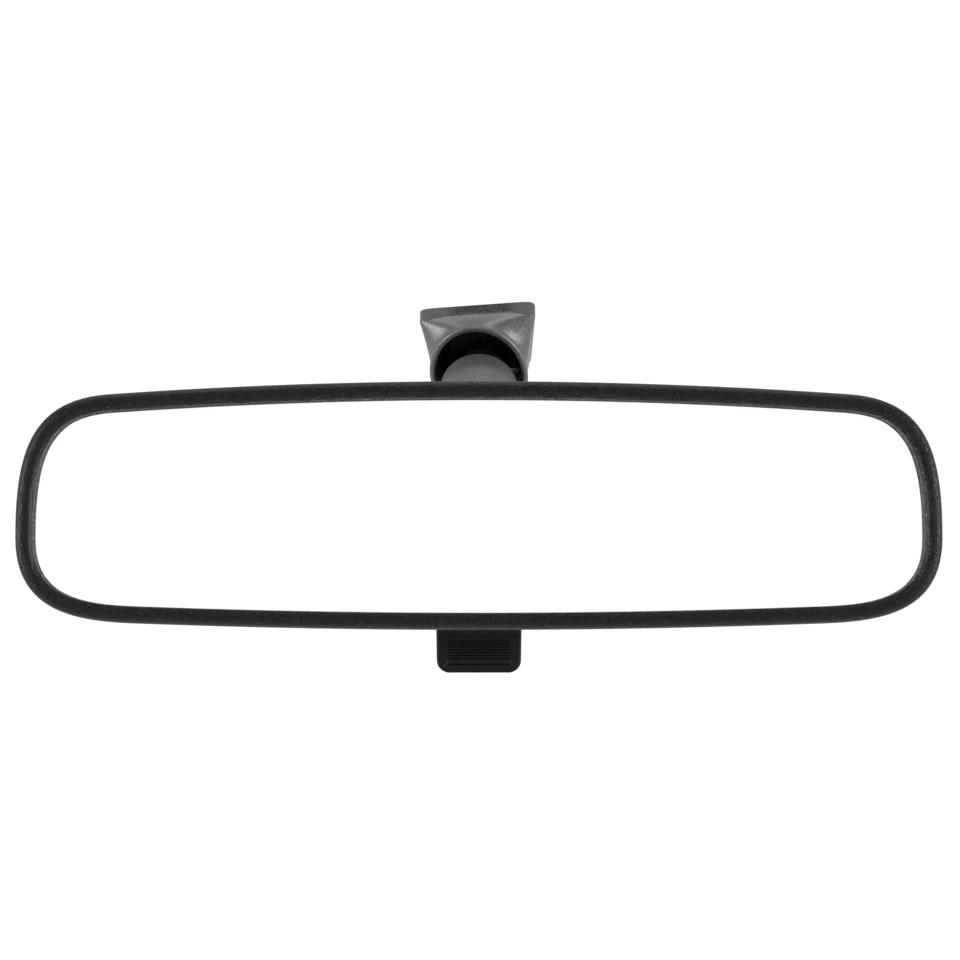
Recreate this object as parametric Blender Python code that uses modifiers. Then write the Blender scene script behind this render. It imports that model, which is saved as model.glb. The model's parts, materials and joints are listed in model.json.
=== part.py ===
"""Interior rearview mirror with a day and night lever, on a two-ball arm under a windscreen mount.

Metres, +Z up, and -Y towards the driver. The origin is the centre of the mount's face, where it meets the
windscreen. The head's own axes run parallel to the world's, and its zero is the middle of its front plane.
"""

import math

import bmesh
import bpy
from mathutils import Matrix, Vector
from mathutils.geometry import interpolate_bezier

# Fits
GAP = 0.0003  # between faces that touch on the real object
SLIP = 0.0003  # radial clearance of a shaft in its hole
ROUND_SHARE = 1 - math.sqrt(0.5)  # where a rounded corner's middle point lies, as a share of its radius
FAR = 0.05  # how far a cutter runs on past the part it cuts

# Head outline: four bowed edges and four large corners
HEAD_WIDTH = 0.250
HEAD_HEIGHT = 0.0671
SIDE_DROP = 0.0088  # the widest point lies this far below the middle
TOP_BOW = 0.0035  # how far the top edge falls from its middle to the corner
BOTTOM_BOW = 0.0016
TOP_CORNER = (0.0252, 0.0215, 0.0225)  # reach in X, then the curve's handle on the edge and on the side
BOTTOM_CORNER = (0.0360, 0.0150, 0.0225)
OUTLINE_STEPS = 6  # points on each quarter's edge and on its corner

# Bezel, glass and housing
BEZEL_WIDTH = 0.0047
BEZEL_DEPTH = 0.0060
BEZEL_SKIRT = 0.0012  # wall of the tongue that snaps inside the housing
SKIRT_REACH = 0.0016
SKIRT_PLAY = 0.0004  # room for the housing's wall, which draws in behind the rim
LIP_DEPTH = 0.0026  # from the bezel's crown to the back of its lip
GLASS_LAP = 0.0018  # how far the lip covers the glass
GLASS_TOP = 0.0040  # the prism's thickness at the top edge
GLASS_BOTTOM = 0.0022
GLASS_BEVEL = 0.0005  # ground off the front edge
FILM_THICKNESS = 0.0004
HOUSING_DEPTH = 0.0280  # front plane to the plateau at the back
HOUSING_WALL = 0.0018
HOUSING_RIM = 0.0012  # straight stretch behind the bezel
PLATEAU_X = 0.40  # the plateau's size as a share of the rim's
PLATEAU_Z = 0.62
DOME_STEPS = 6
WELL_RADIUS = 0.0138  # cone that opens the housing's back round the arm
WELL_MOUTH = 0.0164
WELL_DEPTH = 0.0300
WELL_RISE = 0.0090  # from the lower ball's centre to the cone's middle
WELL_SHIFT = 0.0012  # the cone stands higher than the arm by this, for the head's upward pitch
LEVER_SLOT_BACK = 0.0225
LEVER_SLOT_RISE = 0.000168 / HOUSING_DEPTH  # above the head's bottom edge, more for a shallower housing

# Foam pads behind the glass
PAD_X = 0.0720
PAD_Z = 0.0130
PAD_RADIUS = 0.0050
PAD_THICKNESS = 0.0015
PAD_POST_RADIUS = 0.0040
PAD_POST_DEPTH = 0.93  # where the posts end inside the housing's back wall, as a share of its depth

# Two-ball arm
ARM_LENGTH = 0.0440  # ball centre to ball centre
ARM_RISE = math.radians(30)
LOWER_BALL_DEPTH = 0.0245  # behind the head's front plane
LOWER_BALL_HEIGHT = 0.0084  # above the head's middle
BALL_RADIUS = 0.0060
LINER_WALL = 0.0006
LINER_MOUTH = math.radians(50)
LINER_BACK = math.radians(25)
SLEEVE_RADIUS = 0.0108
SLEEVE_LOW_RADIUS = 0.0085
SLEEVE_TAPER = 0.0160  # the taper's length above the lower ball
SLEEVE_LOW_END = 0.0055  # past the lower ball's centre
SLEEVE_TOP_END = 0.0066  # past the upper ball's centre
SLEEVE_WALL = 0.0018
SLEEVE_ROUND = 0.0014  # at the upper end
SLEEVE_LOW_ROUND = 0.0007
SLEEVE_WAIST = 0.3  # share of the taper already reached halfway down
LIP_HEIGHT = 0.0042  # from a ball's centre to the lip that keeps it in
LIP_FLARE = 0.0022
LOW_LIP_FLARE = 0.0013  # the sleeve's own lip flares less than its cap's
CUP_LENGTH = 0.0080
CUP_BORE = 0.0030
CUP_SEAT = math.radians(74)  # how far the seat wraps round its liner
SHANK_RADIUS = 0.0026
SPIGOT_RADIUS = 0.0018
LOWER_SPIGOT = 0.0032
LOWER_STUD_REACH = 0.0100  # from the lower ball's centre to its seat on the bracket
STUD_BOSS_RADIUS = 0.0048
STUD_BOSS_LENGTH = 0.0060
SPRING_COIL = 0.0046
SPRING_WIRE = 0.0007
SPRING_TURNS = 6
SPRING_POINTS = 12  # along one turn

# Windscreen mount
RAKE = math.radians(28)  # the windscreen's slope
MOUNT_SWIVEL = math.radians(8)  # the mount stands turned by this against the head
FOOT_WIDTH = 0.0336  # across the front edge
FOOT_BACK = 0.0256  # across the back edge
FOOT_LENGTH = 0.0320
FOOT_WALL = 0.0026  # height of the straight wall under the foot
FOOT_CORNER = 8.0  # exponent of the foot's rounded outline
HOOD_SKEW = math.tan(MOUNT_SWIVEL) * 0.4  # the hood's sides turn back towards the arm by this
HOOD_WALL = 0.0013
MOUTH_WIDTH = 0.0270
MOUTH_LENGTH = 0.0324
MOUTH_OFFSET = (-0.0049, -0.0165)  # along the windscreen and away from it
MOUTH_TILT = math.radians(25)
HOOD_STEPS = 7
HOOD_POINTS = 40
BASE_SIZE = (0.0200, 0.0250, 0.0062)
BASE_BEVEL = 0.0012
CHANNEL_WIDTH = 0.0130
CHANNEL_UNDERCUT = 0.0012
CHANNEL_DEPTH = 0.0042
CHANNEL_LIP = 0.0004  # straight part of the channel's mouth
BUTTON_LENGTH = 0.0136
BUTTON_THICKNESS = 0.0022
CLIP_THICKNESS = 0.0005
CLIP_HALF = 0.0045
CLIP_RISE = 0.0019
CLIP_STOP = 0.0015  # the clip ends this far short of the channel's open end
CLIP_SHAPE = ((0.0, 0.2), (0.10, 0.0), (0.78, 0.0), (0.90, 1.0), (0.95, 1.0), (1.0, 0.6))  # along, rise
RIVET_RADIUS = 0.0012
RIVET_HEAD = 0.0020
RIVET_DOME = 0.0006
RIVET_PLACE = -0.0006
RIVET_LENGTH = 0.0018
SNAP_WIDTH = 0.0040  # hooks inside the hood that grip the base
SNAP_HEIGHT = 0.0026
SNAP_PLACE = 0.0070
BOSS_RADIUS = 0.0062
STUD_SEAT = (0.0008, -0.0111)  # where the upper stud leaves the base, along the screen and away from it
UPPER_STUD_LEAN = math.radians(24)
UPPER_STUD_REACH = 0.0140  # from that seat to the ball's centre
UPPER_SPIGOT = 0.0030
PILLAR_LENGTH = 0.0120  # from the stud's seat up into the base

# Day and night lever
GLARE_TILT = math.radians(4.5)
LEVER_SWING = math.radians(32)
PIN_RADIUS = 0.00125
PIN_OVERHANG = 0.0010  # past the cheek's outer face
FRAME_HALF = 0.0210  # outer face of the swing frame's cheeks
FRAME_SILL = -0.0120  # the opening for the arm starts at this height
CHEEK_WALL = 0.0022
TILT_PIN_DEPTH = 0.0120
TILT_PIN_INSET = 0.0088  # below the head's top edge
LEVER_PIN_DEPTH = 0.0145
LEVER_PIN_INSET = 0.0134  # above the head's bottom edge
CRANK_PIN_RADIUS = 0.0015
TAB_WIDTH = 0.0233
TAB_TIP_WIDTH = 0.0222
TAB_LENGTH = 0.0121  # below the head's bottom edge
TAB_THICKNESS = 0.0034
TAB_CORNER = 0.0034
RIB_COUNT = 9
RIB_PITCH = 0.0008
RIB_WIDTH = 0.0168
RIB_DEPTH = 0.00035
RIB_MIDDLE = 0.47  # the ribs' middle as a share of the tab's length below the head
TAB_EDGE = 0.0006
CRANK_HALF = 0.0060
CORNER_ANGLES = [math.pi / 2 * n / 6 for n in range(7)]
HUB_RADIUS = 0.0032
CRANK_WEB = 0.0018  # thickness of the crank between the hub and its pin
TAB_LEAN = math.radians(2.5)  # the leaf stands back from the crank's line by this
TAB_BEND = 0.0015  # below the head's bottom edge, where the leaf turns to hang upright
BARREL_RADIUS = 0.0032
PLATE_THICKNESS = 0.0020
PLATE_HALF = 0.0170
WINDOW_HALF = 0.0116  # the lightening window under the barrel
WINDOW_TOP = 0.0012  # from the barrel to the window
WINDOW_SILL = 0.0005  # below the lower ball's centre
FORK_HALF = 0.0080
FORK_WALL = 0.0013
FORK_RISE = 0.0056  # the fork's body above the crank pin's centre
FORK_DROP = 0.0010  # and below it
LEAF_THICKNESS = 0.0004
LEAF_HALF = 0.0060
LEAF_HEIGHT = 0.0105

# Screws that hold the lever frame to the housing
SCREW_X = 0.0275
SCREW_Z = (-0.0140, 0.0140)
SCREW_HEAD = 0.0024
SCREW_DOME = 0.0013  # height of the head
SCREW_RIM = 0.0005
SCREW_SHANK = 0.0010
SCREW_LENGTH = 0.0060
FLANGE_WALL = 0.0020
FLANGE_DEPTH = min(0.0200, HOUSING_DEPTH - HOUSING_WALL - FLANGE_WALL - 2 * GAP)  # front face of the flanges
FRAME_RELIEF = 0.0020  # the cheeks are cut back above this distance below the tilt pin's eyes
BOSS_OUTER = 0.0034

SIDES = 32  # facets of a turned part
CHROME = (0.62, 0.62, 0.63)
BLACK = (0.016, 0.016, 0.017)
DARK_GREY = (0.055, 0.055, 0.058)


# ---------------------------------------------------------------- helpers


def clear_scene():
    for obj in list(bpy.data.objects):
        bpy.data.objects.remove(obj)


def collection(name):
    group = bpy.data.collections.new(name)
    bpy.context.scene.collection.children.link(group)
    return group


def material(name, colour, roughness, metallic=0.0):
    made = bpy.data.materials.new(name)
    made.use_nodes = True
    shader = made.node_tree.nodes["Principled BSDF"]
    shader.inputs["Base Color"].default_value = (*colour, 1.0)
    shader.inputs["Roughness"].default_value = roughness
    shader.inputs["Metallic"].default_value = metallic
    return made


def empty(name, location=(0, 0, 0), rotation=(0, 0, 0), parent=None):
    frame = bpy.data.objects.new(name, None)
    parts.objects.link(frame)
    frame.parent = parent
    frame.location = location
    frame.rotation_euler = rotation
    return frame


def add(name, bm, finish, parent, location=(0, 0, 0), rotation=(0, 0, 0), smooth=True):
    """A node of the object, made from a bmesh."""
    bmesh.ops.recalc_face_normals(bm, faces=bm.faces)
    mesh = bpy.data.meshes.new(name)
    bm.to_mesh(mesh)
    bm.free()
    obj = bpy.data.objects.new(name, mesh)
    parts.objects.link(obj)
    obj.parent = parent
    obj.location = location
    obj.rotation_euler = rotation
    mesh.materials.append(finish)
    if smooth:
        mesh.shade_smooth()
        mesh.set_sharp_from_angle(angle=math.radians(35))
    return obj


def as_cutter(obj):
    parts.objects.unlink(obj)
    cutters.objects.link(obj)
    obj.hide_render = True
    obj.display_type = "WIRE"
    return obj


def boolean(obj, other, operation="DIFFERENCE"):
    step = obj.modifiers.new(operation.title() + " " + other.name, "BOOLEAN")
    step.operation = operation
    step.solver = "EXACT"
    step.object = other
    return obj


def bevel(obj, width, segments=2, angle=math.radians(40)):
    step = obj.modifiers.new("Bevel", "BEVEL")
    step.width = width
    step.segments = segments
    step.limit_method = "ANGLE"
    step.angle_limit = angle
    return obj


def block_mesh(size, centre=(0, 0, 0)):
    bm = bmesh.new()
    bmesh.ops.create_cube(bm, size=1.0)
    bmesh.ops.scale(bm, vec=Vector(size), verts=bm.verts)
    bmesh.ops.translate(bm, vec=Vector(centre), verts=bm.verts)
    return bm


def block(name, low, high, finish, parent, **place):
    """A box between two corners."""
    low, high = Vector(low), Vector(high)
    return add(name, block_mesh(high - low, (low + high) / 2), finish, parent, smooth=False, **place)


def rod_mesh(radius, length, centre=(0, 0, 0), axis="X", sides=SIDES, end_radius=None):
    bm = bmesh.new()
    turn = {"X": Matrix.Rotation(math.pi / 2, 4, "Y"), "Y": Matrix.Rotation(-math.pi / 2, 4, "X")}
    bmesh.ops.create_cone(
        bm,
        cap_ends=True,
        segments=sides,
        radius1=radius,
        radius2=radius if end_radius is None else end_radius,
        depth=length,
        matrix=Matrix.Translation(Vector(centre)) @ turn.get(axis, Matrix.Identity(4)),
    )
    return bm


def rod(name, radius, length, finish, parent, centre=(0, 0, 0), axis="X", sides=SIDES, **place):
    return add(name, rod_mesh(radius, length, centre, axis, sides), finish, parent, **place)


def arc(centre, radius, start, end, steps):
    """Points (radius, height) along a circle about (0, centre) on a turned profile."""
    angles = [start + (end - start) * n / steps for n in range(steps + 1)]
    return [(radius * math.sin(a), centre + radius * math.cos(a)) for a in angles]


def turned(name, profile, finish, parent, sides=SIDES, closed=True, **place):
    """A turned part about its own Z. The profile's points are (radius, height), down the outer side."""
    bm = bmesh.new()
    verts = [bm.verts.new((r, 0, z)) for r, z in profile]
    ends = zip(verts, verts[1:] + verts[:1]) if closed else zip(verts, verts[1:])
    for a, b in ends:
        bm.edges.new((a, b))
    mesh = bpy.data.meshes.new(name)
    bm.to_mesh(mesh)
    bm.free()
    obj = bpy.data.objects.new(name, mesh)
    parts.objects.link(obj)
    obj.parent = parent
    for key, value in place.items():
        setattr(obj, key, value)
    mesh.materials.append(finish)
    screw = obj.modifiers.new("Screw", "SCREW")
    screw.axis = "Z"
    screw.steps = screw.render_steps = sides
    screw.use_merge_vertices = True
    screw.merge_threshold = 0.00001
    screw.use_smooth_shade = True
    return obj


def applied(obj):
    """The object with its modifiers applied to its mesh, so that a Boolean can use it."""
    graph = bpy.context.evaluated_depsgraph_get()
    graph.update()
    mesh = bpy.data.meshes.new_from_object(obj.evaluated_get(graph))
    obj.modifiers.clear()
    obj.data = mesh
    return obj


def loft_mesh(rings, close_rings=False, cap_start=False, cap_end=False):
    """Quads between rings of equal numbers of points. close_rings joins the last ring to the first."""
    bm = bmesh.new()
    loops = [[bm.verts.new(p) for p in ring] for ring in rings]
    pairs = list(zip(loops, loops[1:])) + ([(loops[-1], loops[0])] if close_rings else [])
    count = len(loops[0])
    for one, two in pairs:
        for n in range(count):
            m = (n + 1) % count
            bm.faces.new((one[n], one[m], two[m], two[n]))
    if cap_start:
        bm.faces.new(loops[0])
    if cap_end:
        bm.faces.new(loops[-1])
    return bm


# ---------------------------------------------------------------- head


def half_outline():
    """The right half of the head's outline, (x, z) from the top middle to the bottom middle."""
    half, top = HEAD_WIDTH / 2, HEAD_HEIGHT / 2
    side = Vector((half, -SIDE_DROP))
    points = []
    for sign, bow, (reach, edge_handle, side_handle) in (
        (1, TOP_BOW, TOP_CORNER),
        (-1, BOTTOM_BOW, BOTTOM_CORNER),
    ):
        middle = Vector((0, sign * top))
        corner = Vector((half - reach, sign * (top - bow)))
        slope = Vector((corner.x, -sign * 2 * bow)).normalized()
        edge = interpolate_bezier(
            middle,
            middle + Vector((corner.x / 3, 0)),
            corner - slope * corner.x / 3,
            corner,
            OUTLINE_STEPS + 1,
        )
        bend = interpolate_bezier(
            corner,
            corner + slope * edge_handle,
            side + Vector((0, sign * side_handle)),
            side,
            OUTLINE_STEPS + 1,
        )
        quarter = [Vector(p[:2]) for p in edge + bend[1:]]
        points += quarter if sign > 0 else quarter[-2::-1]
    return points


def outline(inset=0.0):
    """The head's closed outline, moved inwards by inset."""
    right = half_outline()
    loop = right + [Vector((-p.x, p.y)) for p in right[-2:0:-1]]
    moved = []
    for n, point in enumerate(loop):
        along = loop[(n + 1) % len(loop)] - loop[n - 1]
        inward = Vector((along.y, -along.x)).normalized()
        if inward.dot(point) > 0:
            inward = -inward
        moved.append(point + inward * inset)
    return moved


def head_ring(inset, depth):
    return [(p.x, depth, p.y) for p in outline(inset)]


def make_bezel(head, finish):
    crown = BEZEL_WIDTH / 2
    tongue = HOUSING_WALL + GAP + SKIRT_PLAY
    profile = [(0.0, BEZEL_DEPTH), (0.0, crown)]
    for n in range(1, 8):
        a = math.pi * n / 8
        profile.append((crown - crown * math.cos(a), crown - crown * math.sin(a)))
    profile += [
        (BEZEL_WIDTH, crown),
        (BEZEL_WIDTH, LIP_DEPTH),
        (tongue + BEZEL_SKIRT, LIP_DEPTH + GAP),
        (tongue + BEZEL_SKIRT, BEZEL_DEPTH + SKIRT_REACH),
        (tongue, BEZEL_DEPTH + SKIRT_REACH),
        (tongue, BEZEL_DEPTH),
    ]
    rings = [head_ring(inset, depth) for inset, depth in profile]
    return add("front_bezel", loft_mesh(rings, close_rings=True), finish, head)


def prism_thickness(z):
    """The glass is a wedge, thicker at its top."""
    share = (z + HEAD_HEIGHT / 2) / HEAD_HEIGHT
    return GLASS_BOTTOM + (GLASS_TOP - GLASS_BOTTOM) * share


def glass_edge():
    """Inset of the glass's edge: just inside the bezel's skirt, or as far out as the lap needs."""
    skirt = HOUSING_WALL + GAP + SKIRT_PLAY + BEZEL_SKIRT
    return max(BEZEL_WIDTH - GLASS_LAP, skirt + GAP)


def pad_places():
    return [(side_x * PAD_X, side_z * PAD_Z) for side_x in (-1, 1) for side_z in (-1, 1)]


def film_back(z):
    """Depth of the film's back face, which slopes with the prism."""
    return LIP_DEPTH + 2 * GAP + prism_thickness(z) + GAP + FILM_THICKNESS


def pad_front(z):
    """Depth of a pad's front face: clear of the film over the whole pad."""
    return max(film_back(z - PAD_RADIUS), film_back(z + PAD_RADIUS)) + GAP


def make_pads(head, foam):
    """Foam discs between the housing's posts and the film, which hold the glass in the bezel."""
    for n, (x, z) in enumerate(pad_places(), 1):
        middle = pad_front(z) + PAD_THICKNESS / 2
        place = (x, middle, z)
        rod(f"glass_pad_{n}", PAD_RADIUS, PAD_THICKNESS, foam, head, axis="Y", sides=16, location=place)


def make_glass(head, glass, film):
    edge, front = glass_edge(), LIP_DEPTH + 2 * GAP
    rings = [
        head_ring(edge + GLASS_BEVEL, front),
        head_ring(edge, front + GLASS_BEVEL),
        [(x, front + prism_thickness(z), z) for x, _, z in head_ring(edge, 0)],
    ]
    add("prism_glass", loft_mesh(rings, cap_start=True, cap_end=True), glass, head)
    inner = [(x, front + prism_thickness(z) + GAP, z) for x, _, z in head_ring(edge + GLASS_BEVEL, 0)]
    outer = [(x, y + FILM_THICKNESS, z) for x, y, z in inner]
    add("backing_film", loft_mesh([inner, outer], cap_start=True, cap_end=True), film, head)


def dome_ring(turn, inset=0.0):
    """A ring of the housing's outer skin. turn runs from 0 at the rim to 1 at the plateau."""
    angle = turn * math.pi / 2
    front = BEZEL_DEPTH + GAP + HOUSING_RIM
    depth = front + (HOUSING_DEPTH - front) * math.sin(angle)
    narrow = 1 - math.cos(angle)
    scale_x, scale_z = 1 - (1 - PLATEAU_X) * narrow, 1 - (1 - PLATEAU_Z) * narrow
    return [(p.x * scale_x, depth, p.y * scale_z) for p in outline(inset)]


def make_housing(head, finish):
    rings = [head_ring(0.0, BEZEL_DEPTH + GAP)] + [dome_ring(n / DOME_STEPS) for n in range(DOME_STEPS + 1)]
    housing = add("rear_housing", loft_mesh(rings, cap_end=True), finish, head)
    shell = housing.modifiers.new("Solidify", "SOLIDIFY")
    shell.thickness = HOUSING_WALL
    shell.offset = -1.0
    shell.use_even_offset = True
    applied(housing)
    for n, (x, z) in enumerate(screw_places()):
        reach = HOUSING_DEPTH - HOUSING_WALL / 2 - boss_face()
        post = rod_mesh(BOSS_OUTER, reach, (x, boss_face() + reach / 2, z), "Y", 16)
        boolean(housing, as_cutter(add(f"post_{n}", post, finish, head)), "UNION")
        pilot = rod_mesh(SCREW_SHANK + SLIP, SCREW_LENGTH, (x, boss_face() + SCREW_LENGTH / 4, z), "Y", 12)
        boolean(housing, as_cutter(add(f"pilot_{n}", pilot, finish, head)))
    for n, (x, z) in enumerate(pad_places()):
        front = pad_front(z) + PAD_THICKNESS + GAP
        reach = HOUSING_DEPTH * PAD_POST_DEPTH - front
        post = rod_mesh(PAD_POST_RADIUS, reach, (x, front + reach / 2, z), "Y", 16)
        boolean(housing, as_cutter(add(f"pad_post_{n}", post, finish, head)), "UNION")
    well = bmesh.new()
    bmesh.ops.create_cone(
        well, cap_ends=True, segments=SIDES, radius1=WELL_RADIUS, radius2=WELL_MOUTH, depth=WELL_DEPTH
    )
    place = (0, -WELL_SHIFT, WELL_RISE)
    boolean(housing, as_cutter(add("arm_well", well, finish, arm_frame, location=place)))
    slot = block(
        "lever_slot",
        (-TAB_WIDTH / 2 - 2 * GAP, BEZEL_DEPTH + SKIRT_REACH + GAP, -HEAD_HEIGHT),
        (TAB_WIDTH / 2 + 2 * GAP, LEVER_SLOT_BACK, -HEAD_HEIGHT / 2 + LEVER_SLOT_RISE),
        finish,
        head,
    )
    boolean(housing, as_cutter(slot))
    return housing


# ---------------------------------------------------------------- lever mechanism


def tilt_pin_height():
    return HEAD_HEIGHT / 2 - TILT_PIN_INSET


def lever_pin_height():
    return -HEAD_HEIGHT / 2 + LEVER_PIN_INSET


def crank_reach():
    """The crank that swings the frame through the glare tilt, centred on the lever's swing."""
    travel = (tilt_pin_height() - lever_pin_height()) * math.tan(GLARE_TILT)
    return travel / (2 * math.sin(LEVER_SWING / 2) + math.tan(GLARE_TILT))


def crank_place():
    """The crank pin's centre at rest, (depth, height), ahead of the lever's pivot."""
    reach = crank_reach()
    return (
        LEVER_PIN_DEPTH - reach * math.sin(LEVER_SWING / 2),
        lever_pin_height() + reach * math.cos(LEVER_SWING / 2),
    )


def screw_places():
    return [(side * SCREW_X, z) for side in (-1, 1) for z in SCREW_Z]


def boss_face():
    """Depth of the housing's screw posts, behind the frame's flanges."""
    return FLANGE_DEPTH + FLANGE_WALL + GAP


def tab_half_width(z):
    """Half the tab's width at a height below the lever's pin."""
    share = (z + LEVER_PIN_INSET + TAB_LENGTH) / (LEVER_PIN_INSET + TAB_LENGTH)
    return (TAB_TIP_WIDTH + (TAB_WIDTH - TAB_TIP_WIDTH) * share) / 2


def rounded_section(half_x, half_y, edge):
    """A rectangle about (0, 0) with each corner cut by two facets."""
    corner = [(edge * (1 - math.sin(a)), edge * (1 - math.cos(a))) for a in (0, math.pi / 4, math.pi / 2)]
    right = [(half_x - inset, half_y - drop) for inset, drop in corner]
    quarter = right + [(x, -y) for x, y in right[::-1]]
    return quarter + [(-x, y) for x, y in quarter[::-1]]


def tab_rings():
    """The lever's leaf from its tip to its hub: it leans back inside the head and hangs upright below it."""
    tip = -LEVER_PIN_INSET - TAB_LENGTH
    bend = -LEVER_PIN_INSET - TAB_BEND
    lean = math.tan(LEVER_SWING / 2 + TAB_LEAN)
    levels = [(tip + TAB_CORNER * (1 - math.cos(a)), TAB_CORNER * (1 - math.sin(a))) for a in CORNER_ANGLES]
    levels += [(bend, 0.0), (-HUB_RADIUS / 3, 0.0)]
    rings = []
    for z, inset in levels:
        half = tab_half_width(z) - inset
        y = -max(z, bend) * lean
        rings.append([(x, y + depth, z) for x, depth in rounded_section(half, TAB_THICKNESS / 2, TAB_EDGE)])
    return rings


def make_lever(head, finish):
    pivot = empty("lever_axis", (0, LEVER_PIN_DEPTH, lever_pin_height()), parent=head)
    lever = add("flip_lever", loft_mesh(tab_rings(), cap_start=True, cap_end=True), finish, pivot)
    hub = rod_mesh(HUB_RADIUS, 2 * (FRAME_HALF - CHEEK_WALL - GAP))
    boolean(lever, as_cutter(add("lever_hub", hub, finish, pivot)), "UNION")
    turn = (LEVER_SWING / 2, 0, 0)
    half, reach = CRANK_HALF, crank_reach()
    side = half - GAP
    web = block(
        "crank_web", (-side, -CRANK_WEB / 2, 0), (side, CRANK_WEB / 2, reach), finish, pivot, rotation=turn
    )
    boolean(lever, as_cutter(web), "UNION")
    crank_pin = rod_mesh(CRANK_PIN_RADIUS, 2 * half, (0, 0, reach), sides=16)
    boolean(lever, as_cutter(add("crank_pin", crank_pin, finish, pivot, rotation=turn)), "UNION")
    bore = rod_mesh(PIN_RADIUS + SLIP, 3 * FRAME_HALF, sides=16)
    boolean(lever, as_cutter(add("lever_bore", bore, finish, pivot)))
    face = LEVER_PIN_INSET * math.tan(LEVER_SWING / 2 + TAB_LEAN)
    face += TAB_BEND * math.tan(LEVER_SWING / 2 + TAB_LEAN) - TAB_THICKNESS / 2
    middle = -LEVER_PIN_INSET - TAB_LENGTH * RIB_MIDDLE
    for n in range(RIB_COUNT):
        z = middle + (n - (RIB_COUNT - 1) / 2) * RIB_PITCH
        groove = block(
            f"rib_groove_{n}",
            (-RIB_WIDTH / 2, face - TAB_THICKNESS, z - RIB_PITCH / 4),
            (RIB_WIDTH / 2, face + RIB_DEPTH, z + RIB_PITCH / 4),
            finish,
            pivot,
        )
        boolean(lever, as_cutter(groove))
    return lever


def make_pins(head, steel):
    length = 2 * (FRAME_HALF + PIN_OVERHANG)
    centre = (0, TILT_PIN_DEPTH, tilt_pin_height())
    rod("tilt_pin", PIN_RADIUS, length, steel, head, location=centre, sides=16)
    centre = (0, LEVER_PIN_DEPTH, lever_pin_height())
    rod("lever_pin", PIN_RADIUS, length, steel, head, location=centre, sides=16)


def make_frame(head, finish):
    """The moulded frame screwed into the housing: two cheeks that carry both pins, and their flanges."""
    inner = FRAME_HALF - CHEEK_WALL
    top, bottom = tilt_pin_height() + BARREL_RADIUS, lever_pin_height() - HUB_RADIUS
    front, back = TILT_PIN_DEPTH - BARREL_RADIUS, FLANGE_DEPTH + FLANGE_WALL
    frame = block("lever_frame", (-FRAME_HALF, front, bottom), (FRAME_HALF, back, top), finish, head)
    low, high = (-inner, 0, bottom - FAR), (inner, back - FLANGE_WALL, top + FAR)
    boolean(frame, as_cutter(block("frame_window", low, high, finish, head)))
    well = block("frame_opening", (-inner, 0, FRAME_SILL), (inner, FAR, top + FAR), finish, head)
    boolean(frame, as_cutter(well))
    relief_low = tilt_pin_height() - BARREL_RADIUS - FRAME_RELIEF
    relief_front = TILT_PIN_DEPTH + BARREL_RADIUS
    relief = block("frame_relief", (-FAR, relief_front, relief_low), (FAR, FAR, FAR), finish, head)
    boolean(frame, as_cutter(relief))
    for n, (x, z) in enumerate(screw_places()):
        side = math.copysign(1, x)
        edges = sorted((side * (FRAME_HALF - CHEEK_WALL / 2), x + side * SCREW_HEAD * 1.5))
        ear = block(
            f"ear_{n}",
            (edges[0], FLANGE_DEPTH, z - SCREW_HEAD * 1.4),
            (edges[1], FLANGE_DEPTH + FLANGE_WALL, z + SCREW_HEAD * 1.4),
            finish,
            head,
        )
        boolean(frame, as_cutter(ear), "UNION")
        hole = rod_mesh(SCREW_SHANK + SLIP, 4 * FLANGE_WALL, (x, FLANGE_DEPTH, z), "Y", 12)
        boolean(frame, as_cutter(add(f"ear_hole_{n}", hole, finish, head)))
    for name, depth, height in (
        ("tilt_pin_hole", TILT_PIN_DEPTH, tilt_pin_height()),
        ("lever_pin_hole", LEVER_PIN_DEPTH, lever_pin_height()),
    ):
        hole = rod_mesh(PIN_RADIUS + SLIP, 4 * FRAME_HALF, (0, depth, height), sides=16)
        boolean(frame, as_cutter(add(name, hole, finish, head)))
    return frame


def make_screws(head, steel):
    for n, (x, z) in enumerate(screw_places(), 1):
        head_top = FLANGE_DEPTH - GAP
        profile = [
            (0, SCREW_DOME),
            (SCREW_HEAD * 0.6, SCREW_DOME * 0.92),
            (SCREW_HEAD, SCREW_RIM),
            (SCREW_HEAD, 0),
            (SCREW_SHANK, 0),
            (SCREW_SHANK, -SCREW_LENGTH + SCREW_SHANK),
            (0, -SCREW_LENGTH),
        ]
        turned(
            f"frame_screw_{n}",
            profile,
            steel,
            head,
            sides=12,
            closed=False,
            location=(x, head_top, z),
            rotation_euler=(math.pi / 2, 0, 0),
        )


def make_detent_spring(head, steel):
    """A leaf of spring steel, seated on the frame's back plate, that bears on the lever's hub."""
    near = LEVER_PIN_DEPTH + HUB_RADIUS + GAP
    seat = FLANGE_DEPTH - GAP - LEAF_THICKNESS
    low, high = -HUB_RADIUS, LEAF_HEIGHT - HUB_RADIUS
    line = [(seat, low), (near, low / 3), (near, -low / 3), (seat, high * 0.6), (seat, high)]
    loop = [(y, lever_pin_height() + z) for y, z in line]
    loop += [(y + LEAF_THICKNESS, z) for y, z in loop[::-1]]
    rings = [[(x, y, z) for y, z in loop] for x in (-LEAF_HALF, LEAF_HALF)]
    return add("detent_spring", loft_mesh(rings, cap_start=True, cap_end=True), steel, head, smooth=False)


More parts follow.
